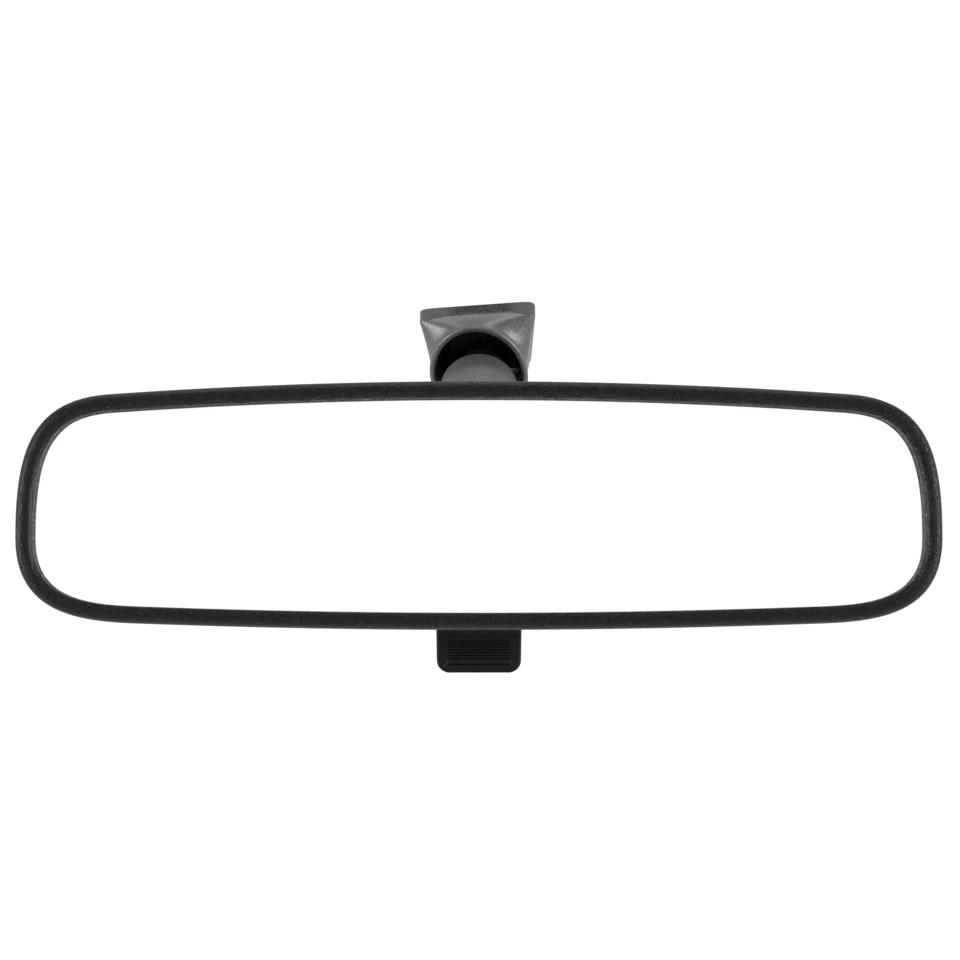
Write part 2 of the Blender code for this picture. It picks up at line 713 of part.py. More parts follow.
def make_bracket(head, finish):
    """The swing bracket: hangs on the tilt pin, carries the lower ball stud, and ends in the crank's fork."""
    crank_y, crank_z = crank_place()
    front = crank_y - PLATE_THICKNESS / 2
    top = tilt_pin_height()
    bracket = block(
        "swing_bracket",
        (-PLATE_HALF, front, crank_z + CRANK_PIN_RADIUS + GAP),
        (PLATE_HALF, front + PLATE_THICKNESS, top),
        finish,
        head,
    )
    window = block(
        "bracket_window",
        (-WINDOW_HALF, 0, LOWER_BALL_HEIGHT - WINDOW_SILL),
        (WINDOW_HALF, FAR, top - BARREL_RADIUS - WINDOW_TOP),
        finish,
        head,
    )
    barrel = rod_mesh(BARREL_RADIUS, 2 * (FRAME_HALF - CHEEK_WALL - GAP), (0, TILT_PIN_DEPTH, top))
    boolean(bracket, as_cutter(add("bracket_barrel", barrel, finish, head)), "UNION")
    boolean(bracket, as_cutter(window))
    slot_half = CRANK_PIN_RADIUS + SLIP
    outer = slot_half + FORK_WALL
    fork = block(
        "fork_body",
        (-FORK_HALF, crank_y - outer, max(crank_z - FORK_DROP, lever_pin_height() + HUB_RADIUS + GAP)),
        (FORK_HALF, crank_y + outer, crank_z + FORK_RISE),
        finish,
        head,
    )
    boolean(bracket, as_cutter(fork), "UNION")
    gate = block(
        "fork_gate",
        (-FAR, crank_y - slot_half, crank_z - FORK_RISE),
        (FAR, crank_y + slot_half, crank_z + CRANK_PIN_RADIUS + 2 * GAP),
        finish,
        head,
    )
    boolean(bracket, as_cutter(gate))
    face = -LOWER_STUD_REACH
    middle = face - STUD_BOSS_LENGTH / 2
    boss = rod_mesh(STUD_BOSS_RADIUS, STUD_BOSS_LENGTH, (0, 0, middle), "Z", 24)
    boolean(bracket, as_cutter(add("stud_boss", boss, finish, arm_frame)), "UNION")
    seat = rod_mesh(SPIGOT_RADIUS + GAP, 2 * LOWER_SPIGOT + 4 * GAP, (0, 0, face), "Z", 16)
    boolean(bracket, as_cutter(add("stud_hole", seat, finish, arm_frame)))
    bore = rod_mesh(PIN_RADIUS + SLIP, 2 * FAR, (0, TILT_PIN_DEPTH, top), sides=16)
    boolean(bracket, as_cutter(add("barrel_bore", bore, finish, head)))
    return bracket


# ---------------------------------------------------------------- arm


def socket_radius():
    return BALL_RADIUS + 2 * SLIP + LINER_WALL


def lip_radius():
    return math.sqrt(socket_radius() ** 2 - LIP_HEIGHT**2)


def make_sleeve(finish):
    socket, lip = socket_radius(), lip_radius()
    top = ARM_LENGTH + SLEEVE_TOP_END
    bore = SLEEVE_RADIUS - SLEEVE_WALL
    lip_angle = math.asin(lip / socket)
    outer = [
        (bore, top),
        (SLEEVE_RADIUS - SLEEVE_ROUND, top),
        (SLEEVE_RADIUS - SLEEVE_ROUND * ROUND_SHARE, top - SLEEVE_ROUND * ROUND_SHARE),
        (SLEEVE_RADIUS, top - SLEEVE_ROUND),
        (SLEEVE_RADIUS, SLEEVE_TAPER),
        (SLEEVE_RADIUS - SLEEVE_WAIST * (SLEEVE_RADIUS - SLEEVE_LOW_RADIUS), SLEEVE_TAPER / 2),
        (SLEEVE_LOW_RADIUS, -SLEEVE_LOW_END + SLEEVE_LOW_ROUND),
        (SLEEVE_LOW_RADIUS - SLEEVE_LOW_ROUND, -SLEEVE_LOW_END),
        (lip + LOW_LIP_FLARE, -SLEEVE_LOW_END),
    ]
    cavity = arc(0, socket, math.pi - lip_angle, math.pi / 2, 5)
    shoulder = ARM_LENGTH - 2 * GAP
    inner = cavity + [(socket, shoulder), (bore, shoulder)]
    return turned("arm_sleeve", outer + inner, finish, arm_frame)


def make_sleeve_cap(finish):
    """The ring pressed into the sleeve's upper end, whose lip keeps the upper ball in."""
    socket, lip = socket_radius(), lip_radius()
    lip_angle = math.asin(lip / socket)
    radius = SLEEVE_RADIUS - SLEEVE_WALL - GAP
    top = ARM_LENGTH + SLEEVE_TOP_END - GAP
    bottom = ARM_LENGTH - GAP
    outer = [(lip + LIP_FLARE, top), (radius, top), (radius, bottom), (socket, bottom)]
    cavity = arc(ARM_LENGTH, socket, math.pi / 2, lip_angle, 5)
    return turned("sleeve_cap", outer + cavity, finish, arm_frame)


def cup_profile():
    """A pressure cup about its ball's centre, with the ball below it."""
    socket = socket_radius()
    radius = socket - SLIP
    rim = math.asin(radius / (socket + GAP / 3))
    start = math.asin(CUP_BORE / socket)
    seat = arc(0, socket, start, min(rim, CUP_SEAT), 5)
    end = seat[0][1] + CUP_LENGTH / 2
    return seat + [(radius, seat[-1][1]), (radius, end), (CUP_BORE, end)], end


def make_cups(finish):
    """Two cups that the spring pushes against the ball liners. Returns where the spring may reach."""
    profile, end = cup_profile()
    turned("lower_cup", profile[::-1], finish, arm_frame)
    place = {"location": (0, 0, ARM_LENGTH), "rotation_euler": (math.pi, 0, 0)}
    turned("upper_cup", profile[::-1], finish, arm_frame, **place)
    return end


def make_liner(name, finish, facing):
    """A thin spherical friction liner, open round the stud."""
    inner, outer = BALL_RADIUS + SLIP, BALL_RADIUS + SLIP + LINER_WALL
    profile = arc(0, outer, LINER_BACK, math.pi - LINER_MOUTH, 6)
    profile += arc(0, inner, math.pi - LINER_MOUTH, LINER_BACK, 6)
    if facing > 0:
        return turned(name, profile, finish, arm_frame, sides=24)
    place = {"location": (0, 0, ARM_LENGTH), "rotation_euler": (math.pi, 0, 0)}
    return turned(name, profile, finish, arm_frame, sides=24, **place)


def make_spring(steel, end):
    """A coil spring between the two cups."""
    low, high = end + GAP + SPRING_WIRE, ARM_LENGTH - end - GAP - SPRING_WIRE
    curve = bpy.data.curves.new("arm_spring", "CURVE")
    curve.dimensions = "3D"
    curve.bevel_depth = SPRING_WIRE
    curve.bevel_resolution = 1
    curve.use_fill_caps = True
    spline = curve.splines.new("POLY")
    count = SPRING_TURNS * SPRING_POINTS + 1
    spline.points.add(count - 1)
    for n, point in enumerate(spline.points):
        a = 2 * math.pi * n / SPRING_POINTS
        z = low + (high - low) * n / (count - 1)
        point.co = (SPRING_COIL * math.cos(a), SPRING_COIL * math.sin(a), z, 1)
    spring = bpy.data.objects.new("arm_spring", curve)
    parts.objects.link(spring)
    spring.parent = arm_frame
    curve.materials.append(steel)
    return spring


def stud_profile(shoulder, spigot):
    """A ball on a shank, with a thinner spigot below its shoulder. The ball's centre is at 0."""
    neck = math.asin(SHANK_RADIUS / BALL_RADIUS)
    return arc(0, BALL_RADIUS, 0, math.pi - neck, 10) + [
        (SHANK_RADIUS, -shoulder),
        (SPIGOT_RADIUS, -shoulder),
        (SPIGOT_RADIUS, -shoulder - spigot),
        (0, -shoulder - spigot),
    ]


def make_lower_stud(steel):
    profile = stud_profile(LOWER_STUD_REACH - GAP, LOWER_SPIGOT)
    return turned("lower_ball_stud", profile, steel, arm_frame, sides=24, closed=False)


# ---------------------------------------------------------------- windscreen mount


def hood_half(share, turn):
    """Half the hood's width. share runs from -1 at its front edge to 1 at its back edge."""
    foot = FOOT_WIDTH + (FOOT_BACK - FOOT_WIDTH) * (share + 1) / 2
    return (foot + (MOUTH_WIDTH - foot) * turn) / 2


def hood_shift(share, turn):
    """How far the skew moves the hood's back towards -X, and its front towards +X. It fades at the mouth."""
    return HOOD_SKEW * share * FOOT_LENGTH / 2 * (1 - turn)


def hood_ring(turn):
    """A ring of the hood's skin in the mount's frame, from the foot at 0 to the mouth at 1."""
    tilt = MOUTH_TILT * turn
    along = MOUTH_OFFSET[0] * turn
    down = -FOOT_WALL + (MOUTH_OFFSET[1] + FOOT_WALL) * turn
    half_y = (FOOT_LENGTH + (MOUTH_LENGTH - FOOT_LENGTH) * turn) / 2
    power = 2 / (FOOT_CORNER + (2 - FOOT_CORNER) * turn**0.6)
    ring = []
    for n in range(HOOD_POINTS):
        a = 2 * math.pi * (n + 0.5) / HOOD_POINTS
        c, s = math.cos(a), math.sin(a)
        y = math.copysign(abs(s) ** power, s)
        x = hood_half(y, turn) * math.copysign(abs(c) ** power, c) - hood_shift(y, turn)
        y *= half_y
        ring.append((x, along + y * math.cos(tilt), down - y * math.sin(tilt)))
    return ring


def make_hood(mount, finish):
    foot = [(x, y, -GAP) for x, y, _ in hood_ring(0)]
    rings = [foot] + [hood_ring(n / HOOD_STEPS) for n in range(HOOD_STEPS + 1)]
    hood = add("mount_hood", loft_mesh(rings), finish, mount)
    shell = hood.modifiers.new("Solidify", "SOLIDIFY")
    shell.thickness = HOOD_WALL
    shell.offset = -1.0
    shell.use_even_offset = True
    applied(hood)
    for n, (side, along) in enumerate([(a, b) for a in (-1, 1) for b in (-SNAP_PLACE, SNAP_PLACE)]):
        low, high = -BASE_SIZE[2], -BASE_SIZE[2] + SNAP_HEIGHT
        turn = (low + FOOT_WALL) / (MOUTH_OFFSET[1] + FOOT_WALL)
        share = along / FOOT_LENGTH * 2
        wall = side * (hood_half(share, turn) - HOOD_WALL * 0.6) - hood_shift(share, turn)
        ends = sorted((side * (BASE_SIZE[0] / 2 + GAP), wall))
        hook = block(
            f"hood_hook_{n}",
            (ends[0], along - SNAP_WIDTH / 2, low),
            (ends[1], along + SNAP_WIDTH / 2, high),
            finish,
            mount,
        )
        boolean(hood, as_cutter(hook), "UNION")
    return hood


def stud_axis():
    return Vector((0, math.sin(UPPER_STUD_LEAN), math.cos(UPPER_STUD_LEAN)))


def upper_ball_place():
    """The upper ball's centre in the mount's frame."""
    return Vector((0, *STUD_SEAT)) - stud_axis() * UPPER_STUD_REACH


def channel_section(inset):
    """Half widths and heights of the dovetail, from its mouth to its floor, drawn in by inset."""
    narrow = CHANNEL_WIDTH / 2 - inset
    slope = CHANNEL_UNDERCUT / (CHANNEL_DEPTH - CHANNEL_LIP)
    return narrow, slope


def dovetail_mesh(inset, top, bottom, start, end):
    """A prism of the dovetail's section between two heights, along the windscreen."""
    narrow, slope = channel_section(inset)
    base = narrow + slope * (-bottom - CHANNEL_LIP)
    half = [(narrow, top), (narrow, -CHANNEL_LIP), (base, bottom)]
    section = half + [(-x, z) for x, z in half[::-1]]
    rings = [[(x, y, z) for x, z in section] for y in (start, end)]
    return loft_mesh(rings, cap_start=True, cap_end=True)


def make_base(mount, finish):
    """The cast base, with the undercut channel that slides over the windscreen button."""
    wide, long, thick = BASE_SIZE
    base = block("mount_base", (-wide / 2, -long / 2, -thick), (wide / 2, long / 2, -GAP), finish, mount)
    bevel(base, BASE_BEVEL, 2, math.radians(60))
    applied(base)
    seat, turn = Vector((0, *STUD_SEAT)), (-UPPER_STUD_LEAN, 0, 0)
    pillar = rod_mesh(BOSS_RADIUS, PILLAR_LENGTH, (0, 0, PILLAR_LENGTH / 2), "Z", 24)
    boolean(base, as_cutter(add("stud_pillar", pillar, finish, mount, seat, turn)), "UNION")
    trim = block("face_trim", (-FAR, -FAR, -GAP), (FAR, FAR, FAR), finish, mount)
    boolean(base, as_cutter(trim))
    start = -BUTTON_LENGTH / 2 - GAP
    channel = dovetail_mesh(0.0, BASE_BEVEL, -CHANNEL_DEPTH, start, long)
    boolean(base, as_cutter(add("button_channel", channel, finish, mount, smooth=False)))
    hole = rod_mesh(RIVET_RADIUS + GAP, 2 * RIVET_LENGTH, (0, RIVET_PLACE, -CHANNEL_DEPTH), "Z", 12)
    boolean(base, as_cutter(add("rivet_hole", hole, finish, mount)))
    spigot = rod_mesh(SPIGOT_RADIUS + GAP, 2 * UPPER_SPIGOT + 4 * GAP, sides=16, axis="Z")
    boolean(base, as_cutter(add("upper_stud_hole", spigot, finish, mount, seat, turn)))
    return base


def make_button(mount, finish):
    """The button that is bonded to the windscreen. Its outer face lies on the origin."""
    start, end = -BUTTON_LENGTH / 2, BUTTON_LENGTH / 2
    button = dovetail_mesh(GAP, 0.0, -BUTTON_THICKNESS, start, end)
    return add("windscreen_button", button, finish, mount, smooth=False)


def make_clip(mount, steel):
    """The leaf on the channel's floor that snaps behind the windscreen button, and its rivet."""
    floor = -CHANNEL_DEPTH + GAP
    start = -BUTTON_LENGTH / 2 + 2 * GAP
    length = BASE_SIZE[1] / 2 - CLIP_STOP - start
    line = [(start + length * along, floor + CLIP_RISE * rise) for along, rise in CLIP_SHAPE]
    loop = line + [(y, z + CLIP_THICKNESS) for y, z in line[::-1]]
    rings = [[(x, y, z) for y, z in loop] for x in (-CLIP_HALF, CLIP_HALF)]
    clip = add("button_clip", loft_mesh(rings, cap_start=True, cap_end=True), steel, mount, smooth=False)
    hole = rod_mesh(RIVET_RADIUS + GAP, 4 * RIVET_LENGTH, (0, RIVET_PLACE, floor), "Z", 12)
    boolean(clip, as_cutter(add("clip_hole", hole, steel, mount)))
    profile = [
        (0, RIVET_DOME),
        (RIVET_HEAD * 0.7, RIVET_DOME * 0.83),
        (RIVET_HEAD, RIVET_DOME / 6),
        (RIVET_HEAD, 0),
        (RIVET_RADIUS, 0),
        (RIVET_RADIUS, -RIVET_LENGTH),
        (0, -RIVET_LENGTH),
    ]
    top = floor + CLIP_THICKNESS + GAP
    turned("clip_rivet", profile, steel, mount, sides=12, closed=False, location=(0, RIVET_PLACE, top))


def make_upper_stud(mount, steel):
    """The ball on its shank hangs from the base, so its profile is turned over to reach up."""
    profile = stud_profile(UPPER_STUD_REACH - GAP, UPPER_SPIGOT)
    stud = turned("upper_ball_stud", profile, steel, mount, sides=24, closed=False)
    stud.location = upper_ball_place()
    stud.rotation_euler = (math.pi - UPPER_STUD_LEAN, 0, 0)
    return stud


# ---------------------------------------------------------------- assembly

clear_scene()
parts = collection("interior_rearview_mirror")
cutters = collection("cutters")

grained_black = material("grained black plastic", BLACK, 0.55)
arm_black = material("matt arm plastic", DARK_GREY, 0.6)
acetal = material("natural acetal", (0.75, 0.74, 0.70), 0.4)
frame_plastic = material("glass filled nylon", (0.10, 0.10, 0.10), 0.6)
spring_steel = material("spring steel", CHROME, 0.3, 1.0)
cast_zinc = material("cast zinc", (0.45, 0.45, 0.46), 0.5, 1.0)
mirror_glass = material("mirror glass", (0.92, 0.94, 0.93), 0.02, 1.0)
film_black = material("black safety film", (0.02, 0.02, 0.02), 0.7)

foam = material("grey foam", (0.2, 0.2, 0.2), 0.9)

mount_frame = empty("mount_frame", rotation=(-RAKE, 0, 0))
mount_turn = empty("mount_turn", rotation=(0, 0, -MOUNT_SWIVEL), parent=mount_frame)
to_world = Matrix.Rotation(-RAKE, 3, "X") @ Matrix.Rotation(-MOUNT_SWIVEL, 3, "Z")
upper_ball = to_world @ upper_ball_place()
sleeve_axis = Vector((0, math.cos(ARM_RISE), math.sin(ARM_RISE)))
lower_ball = upper_ball - sleeve_axis * ARM_LENGTH
head_frame = empty("head_frame", lower_ball - Vector((0, LOWER_BALL_DEPTH, LOWER_BALL_HEIGHT)))
arm_frame = empty("arm_frame", lower_ball, (ARM_RISE - math.pi / 2, 0, 0))
bpy.context.view_layer.update()

make_hood(mount_turn, grained_black)
make_base(mount_turn, cast_zinc)
make_button(mount_turn, cast_zinc)
make_clip(mount_turn, spring_steel)
make_upper_stud(mount_turn, spring_steel)

make_sleeve(arm_black)
make_sleeve_cap(frame_plastic)
spring_seat = make_cups(acetal)
make_spring(spring_steel, spring_seat)
make_liner("lower_ball_liner", acetal, 1)
make_liner("upper_ball_liner", acetal, -1)
make_lower_stud(spring_steel)

make_bezel(head_frame, grained_black)
make_glass(head_frame, mirror_glass, film_black)
make_housing(head_frame, grained_black)
make_frame(head_frame, frame_plastic)
make_bracket(head_frame, cast_zinc)
make_pads(head_frame, foam)
make_pins(head_frame, spring_steel)
make_detent_spring(head_frame, spring_steel)
make_screws(head_frame, spring_steel)
make_lever(head_frame, grained_black)
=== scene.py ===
import json
import math

import bmesh
import bpy
from mathutils import Matrix, Vector
from mathutils.geometry import interpolate_bezier


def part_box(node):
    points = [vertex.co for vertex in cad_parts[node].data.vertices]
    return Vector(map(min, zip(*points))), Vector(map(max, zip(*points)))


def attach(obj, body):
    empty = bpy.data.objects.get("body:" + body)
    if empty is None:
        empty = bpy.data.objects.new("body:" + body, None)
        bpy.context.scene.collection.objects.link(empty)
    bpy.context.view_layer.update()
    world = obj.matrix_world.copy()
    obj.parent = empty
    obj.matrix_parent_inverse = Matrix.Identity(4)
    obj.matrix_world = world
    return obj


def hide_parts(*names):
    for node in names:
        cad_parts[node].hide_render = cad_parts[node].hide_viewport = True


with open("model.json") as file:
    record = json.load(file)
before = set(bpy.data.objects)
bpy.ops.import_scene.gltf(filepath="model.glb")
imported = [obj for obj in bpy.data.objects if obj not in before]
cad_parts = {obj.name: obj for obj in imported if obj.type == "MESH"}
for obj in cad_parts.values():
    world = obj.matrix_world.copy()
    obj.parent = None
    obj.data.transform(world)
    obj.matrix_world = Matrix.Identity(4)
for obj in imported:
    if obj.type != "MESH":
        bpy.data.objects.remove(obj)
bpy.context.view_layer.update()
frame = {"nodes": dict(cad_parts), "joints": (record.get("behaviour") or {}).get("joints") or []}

mm = 0.001
glareTilt = math.radians(4.5)  # how far the head swings between day and night
print("frame loaded, building the interior mirror")

# the middle of the head in its front plane, and the line of the arm from ball to ball
headLow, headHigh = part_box("front_bezel")
headMid = Vector(((headLow.x + headHigh.x) / 2, headLow.y, (headLow.z + headHigh.z) / 2))
joints = {joint["name"]: joint for joint in frame["joints"]}
lowerBall = Vector(joints["head_pitch"]["pos_m"])
upperBall = Vector(joints["arm_pitch"]["pos_m"])
armAxis = (upperBall - lowerBall).normalized()
sideways = Vector((1, 0, 0))


def smoothFaces(mesh, angle):
    mesh.shade_smooth()
    mesh.set_sharp_from_angle(angle=math.radians(angle))


def newPiece(name, bm, finish, body, replaces=(), smoothAngle=40):
    bmesh.ops.recalc_face_normals(bm, faces=bm.faces)
    mesh = bpy.data.meshes.new(name)
    bm.to_mesh(mesh)
    bm.free()
    piece = bpy.data.objects.new(name, mesh)
    bpy.context.scene.collection.objects.link(piece)
    mesh.materials.append(finish)
    smoothFaces(mesh, smoothAngle)
    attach(piece, body)
    if replaces:
        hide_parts(*replaces)
    return piece


def loft(rings, joined=False, capStart=False, capEnd=False):
    # skin over rings of equally many points, joined from last to first or closed by caps
    bm = bmesh.new()
    loops = [[bm.verts.new(point) for point in ring] for ring in rings]
    pairs = list(zip(loops, loops[1:]))
    if joined:
        pairs.append((loops[-1], loops[0]))
    count = len(loops[0])
    for one, two in pairs:
        for n in range(count):
            after = (n + 1) % count
            bm.faces.new((one[n], one[after], two[after], two[n]))
    if capStart:
        bm.faces.new(loops[0])
    if capEnd:
        bm.faces.new(loops[-1])
    return bm


def arcPoints(cx, cy, radius, start, end, steps):
    # points on an arc from one angle to another, in degrees
    points = []
    for n in range(steps + 1):
        angle = math.radians(start + (end - start) * n / steps)
        points.append((cx + radius * math.cos(angle), cy + radius * math.sin(angle)))
    return points


def applyAll(piece):
    # turns a piece's modifiers into its real mesh
    graph = bpy.context.evaluated_depsgraph_get()
    graph.update()
    mesh = bpy.data.meshes.new_from_object(piece.evaluated_get(graph))
    piece.modifiers.clear()
    piece.data = mesh


def cutAway(piece, bm):
    bmesh.ops.recalc_face_normals(bm, faces=bm.faces)
    mesh = bpy.data.meshes.new("cutter")
    bm.to_mesh(mesh)
    bm.free()
    cutter = bpy.data.objects.new("cutter", mesh)
    bpy.context.scene.collection.objects.link(cutter)
    cut = piece.modifiers.new("cut", "BOOLEAN")
    cut.solver = "EXACT"
    cut.object = cutter
    applyAll(piece)
    bpy.data.objects.remove(cutter)


def boxMesh(low, high):
    bm = bmesh.new()
    bmesh.ops.create_cube(bm, size=1.0)
    bmesh.ops.scale(bm, vec=high - low, verts=bm.verts)
    bmesh.ops.translate(bm, vec=(low + high) / 2, verts=bm.verts)
    return bm


def rodMesh(radius, length, sides, endRadius=None):
    bm = bmesh.new()
    end = radius if endRadius is None else endRadius
    bmesh.ops.create_cone(bm, cap_ends=True, segments=sides, radius1=radius, radius2=end, depth=length)
    return bm


def addShell(target, extra):
    # another closed shell of the same piece
    mesh = bpy.data.meshes.new("shell")
    extra.to_mesh(mesh)
    extra.free()
    target.from_mesh(mesh)
    bpy.data.meshes.remove(mesh)


def turnedMesh(profile, sides):
    # closed loop of (radius, height) turned about Z
    turns = [2 * math.pi * n / sides for n in range(sides)]
    rings = []
    for radius, height in profile:
        rings.append([Vector((radius * math.cos(a), radius * math.sin(a), height)) for a in turns])
    return loft(rings, joined=True)


def axisPlace(origin, axis):
    # puts a shape made along Z onto an axis that lies across the X direction
    columns = (sideways, axis.cross(sideways), axis)
    return Matrix.Translation(origin) @ Matrix(columns).transposed().to_4x4()


def squarishPoint(angle, power):
    # round at power 2, and nearer to a square the higher the power
    c, s = math.cos(angle), math.sin(angle)
    return math.copysign(abs(c) ** (2 / power), c), math.copysign(abs(s) ** (2 / power), s)


def grey(tone):
    return tone, tone, tone


class Nodes:
    # short way to make and join a material's nodes
    def __init__(self, name):
        self.material = bpy.data.materials.new(name)
        self.material.use_nodes = True
        self.tree = self.material.node_tree
        self.shader = self.tree.nodes["Principled BSDF"]

    def add(self, kind, inputs=(), **settings):
        node = self.tree.nodes.new(kind)
        for name, value in settings.items():
            setattr(node, name, value)
        for name, value in inputs:
            node.inputs[name].default_value = value
        return node

    def join(self, output, socket):
        self.tree.links.new(output, socket)

    def objectPlace(self):
        return self.add("ShaderNodeTexCoord").outputs["Object"]

    def bumpFrom(self, height, strength, depth):
        bump = self.add("ShaderNodeBump", [("Strength", strength), ("Distance", depth)])
        self.join(height, bump.inputs["Height"])
        self.join(bump.outputs["Normal"], self.shader.inputs["Normal"])


def noiseAt(kit, where, scale, detail=2.0, rough=0.5):
    noise = kit.add("ShaderNodeTexNoise", [("Scale", scale), ("Detail", detail), ("Roughness", rough)])
    kit.join(where, noise.inputs["Vector"])
    return noise.outputs["Fac"]


def cellsAt(kit, where, scale):
    cells = kit.add("ShaderNodeTexVoronoi", [("Scale", scale)])
    kit.join(where, cells.inputs["Vector"])
    return cells.outputs["Distance"]


def spread(kit, value, low, high, toLow, toHigh):
    step = kit.add("ShaderNodeMapRange", [
        ("From Min", low), ("From Max", high), ("To Min", toLow), ("To Max", toHigh),
    ])
    kit.join(value, step.inputs["Value"])
    return step.outputs["Result"]


def mixColour(kit, factor, under, over):
    # under is a colour, or another node's output; the mix node's colours are its inputs 6 and 7
    mix = kit.add("ShaderNodeMix", [(7, (*over, 1))], data_type="RGBA")
    if isinstance(under, tuple):
        mix.inputs[6].default_value = (*under, 1)
    else:
        kit.join(under, mix.inputs[6])
    kit.join(factor, mix.inputs[0])
    return mix.outputs[2]


dust = {"scale": 330, "core": 0.035, "edge": 0.055, "tone": grey(0.11)}


def dustSpecks(kit, where, base, amount):
    # a few pale specks, each a fraction of a millimetre across
    speck = spread(kit, cellsAt(kit, where, dust["scale"]), dust["core"], dust["edge"], amount, 0.0)
    return mixColour(kit, speck, base, dust["tone"])


# painted highlight: where the paler corners of the hood's band begin and end, and how far they go towards the
# paler tone
paintedCornerHighlight = {"start": 6.5 * mm, "full": 11 * mm, "most": 0.9}


def addCornerHighlight(kit, where, base, tone):
    # painted highlight: the band round the hood's foot is painted paler towards its corners, away from the
    # middle
    apart = kit.add("ShaderNodeSeparateXYZ")
    kit.join(where, apart.inputs[0])
    side = kit.add("ShaderNodeMath", operation="ABSOLUTE")
    kit.join(apart.outputs["X"], side.inputs[0])
    corner = spread(kit, side.outputs[0], paintedCornerHighlight["start"], paintedCornerHighlight["full"], 0.0, paintedCornerHighlight["most"])
    return mixColour(kit, corner, base, tone)


# what all moulded parts share: the grain's noise, its tones and cells, and the range of the cloudy wear
moulding = {"detail": 3.0, "rough": 0.6, "tones": (0.40, 0.62), "cellShare": 0.6, "cloud": (0.3, 0.7)}


def mouldedPlastic(name, look):
    # fine moulded grain with softer cloudy wear and a few specks of dust
    kit = Nodes(name)
    where = kit.objectPlace()
    grain = noiseAt(kit, where, look["grainScale"], moulding["detail"], moulding["rough"])
    cloud = noiseAt(kit, where, look["cloudScale"])
    cells = cellsAt(kit, where, look["grainScale"] * moulding["cellShare"])
    base = mixColour(kit, spread(kit, grain, *moulding["tones"], 0.0, 1.0), look["dark"], look["light"])
    # paler corners here are a painted highlight, not wear
    if "highlightTone" in look:
        base = addCornerHighlight(kit, where, base, look["highlightTone"])
    kit.join(dustSpecks(kit, where, base, look["dust"]), kit.shader.inputs["Base Color"])
    middle, wander = look["roughness"], look["roughSpread"]
    rough = spread(kit, cloud, *moulding["cloud"], middle - wander, middle + wander)
    kit.join(rough, kit.shader.inputs["Roughness"])
    height = kit.add("ShaderNodeMath", operation="ADD")
    kit.join(grain, height.inputs[0])
    kit.join(cells, height.inputs[1])
    kit.bumpFrom(height.outputs[0], look["grainStrength"], look["grainDepth"])
    kit.shader.inputs["Specular IOR Level"].default_value = look["specular"]
    return kit.material


brushing = {
    "lineScale": 900, "stainScale": 220, "detail": 3.0, "stainShade": 0.72, "lines": (0.3, 0.7),
    "smoothest": 0.75, "roughest": 1.3, "strength": 0.25, "depth": 0.01 * mm,
}


def brushedMetal(name, colour, roughness, stretch=(1, 1, 12)):
    # metal with fine lines squeezed along Z and a slight stain
    kit = Nodes(name)
    where = kit.objectPlace()
    place = kit.add("ShaderNodeMapping", [("Scale", stretch)])
    kit.join(where, place.inputs["Vector"])
    lines = noiseAt(kit, place.outputs["Vector"], brushing["lineScale"], brushing["detail"])
    stain = noiseAt(kit, where, brushing["stainScale"], brushing["detail"])
    darker = tuple(channel * brushing["stainShade"] for channel in colour)
    kit.join(mixColour(kit, stain, darker, colour), kit.shader.inputs["Base Color"])
    smoothest, roughest = roughness * brushing["smoothest"], roughness * brushing["roughest"]
    kit.join(spread(kit, lines, *brushing["lines"], smoothest, roughest), kit.shader.inputs["Roughness"])
    kit.bumpFrom(lines, brushing["strength"], brushing["depth"])
    kit.shader.inputs["Metallic"].default_value = 1.0
    return kit.material


silvering = {
    "dark": grey(0.985), "light": grey(0.995), "hazeScale": 35, "haze": (0.3, 0.7),
    "roughness": (0.004, 0.012),
}


def silverLayer():
    # bright silvering with a hardly visible haze
    kit = Nodes("silverLayer")
    haze = noiseAt(kit, kit.objectPlace(), silvering["hazeScale"])
    kit.join(mixColour(kit, haze, silvering["dark"], silvering["light"]), kit.shader.inputs["Base Color"])
    rough = spread(kit, haze, *silvering["haze"], *silvering["roughness"])
    kit.join(rough, kit.shader.inputs["Roughness"])
    kit.shader.inputs["Metallic"].default_value = 1.0
    return kit.material


clear = {
    "dark": (0.985, 0.99, 0.988), "light": (0.99, 0.994, 0.992), "filmScale": 160, "detail": 3.0,
    "film": (0.3, 0.8), "roughness": (0.0, 0.008), "index": 1.52,
}


def clearGlass():
    # faintly green float glass with a thin uneven film of dust
    kit = Nodes("clearGlass")
    film = noiseAt(kit, kit.objectPlace(), clear["filmScale"], clear["detail"])
    kit.join(mixColour(kit, film, clear["dark"], clear["light"]), kit.shader.inputs["Base Color"])
    kit.join(spread(kit, film, *clear["film"], *clear["roughness"]), kit.shader.inputs["Roughness"])
    kit.shader.inputs["Transmission Weight"].default_value = 1.0
    kit.shader.inputs["IOR"].default_value = clear["index"]
    return kit.material


headBlack = mouldedPlastic("headBlack", {
    "dark": grey(0.0006), "light": (0.008, 0.008, 0.0082), "dust": 0.5,
    "roughness": 0.30, "roughSpread": 0.04, "specular": 0.10,
    "grainScale": 2700, "grainStrength": 1.0, "grainDepth": 0.12 * mm, "cloudScale": 60,
})
hoodBlack = mouldedPlastic("hoodBlack", {
    "dark": grey(0.010), "light": grey(0.050), "dust": 0.5,
    "roughness": 0.42, "roughSpread": 0.05, "specular": 0.5,
    "grainScale": 3000, "grainStrength": 1.0, "grainDepth": 0.05 * mm, "cloudScale": 70,
})
# painted shade: a darker copy of the hood's plastic for the foot's band, with painted highlights paler at its
# corners
hoodBandShade = mouldedPlastic("hoodBandShade", {
    "dark": grey(0.002), "light": grey(0.030), "dust": 0.5, "highlightTone": grey(0.045),
    "roughness": 0.6, "roughSpread": 0.06, "specular": 0.16,
    "grainScale": 2100, "grainStrength": 1.0, "grainDepth": 0.2 * mm, "cloudScale": 90,
})
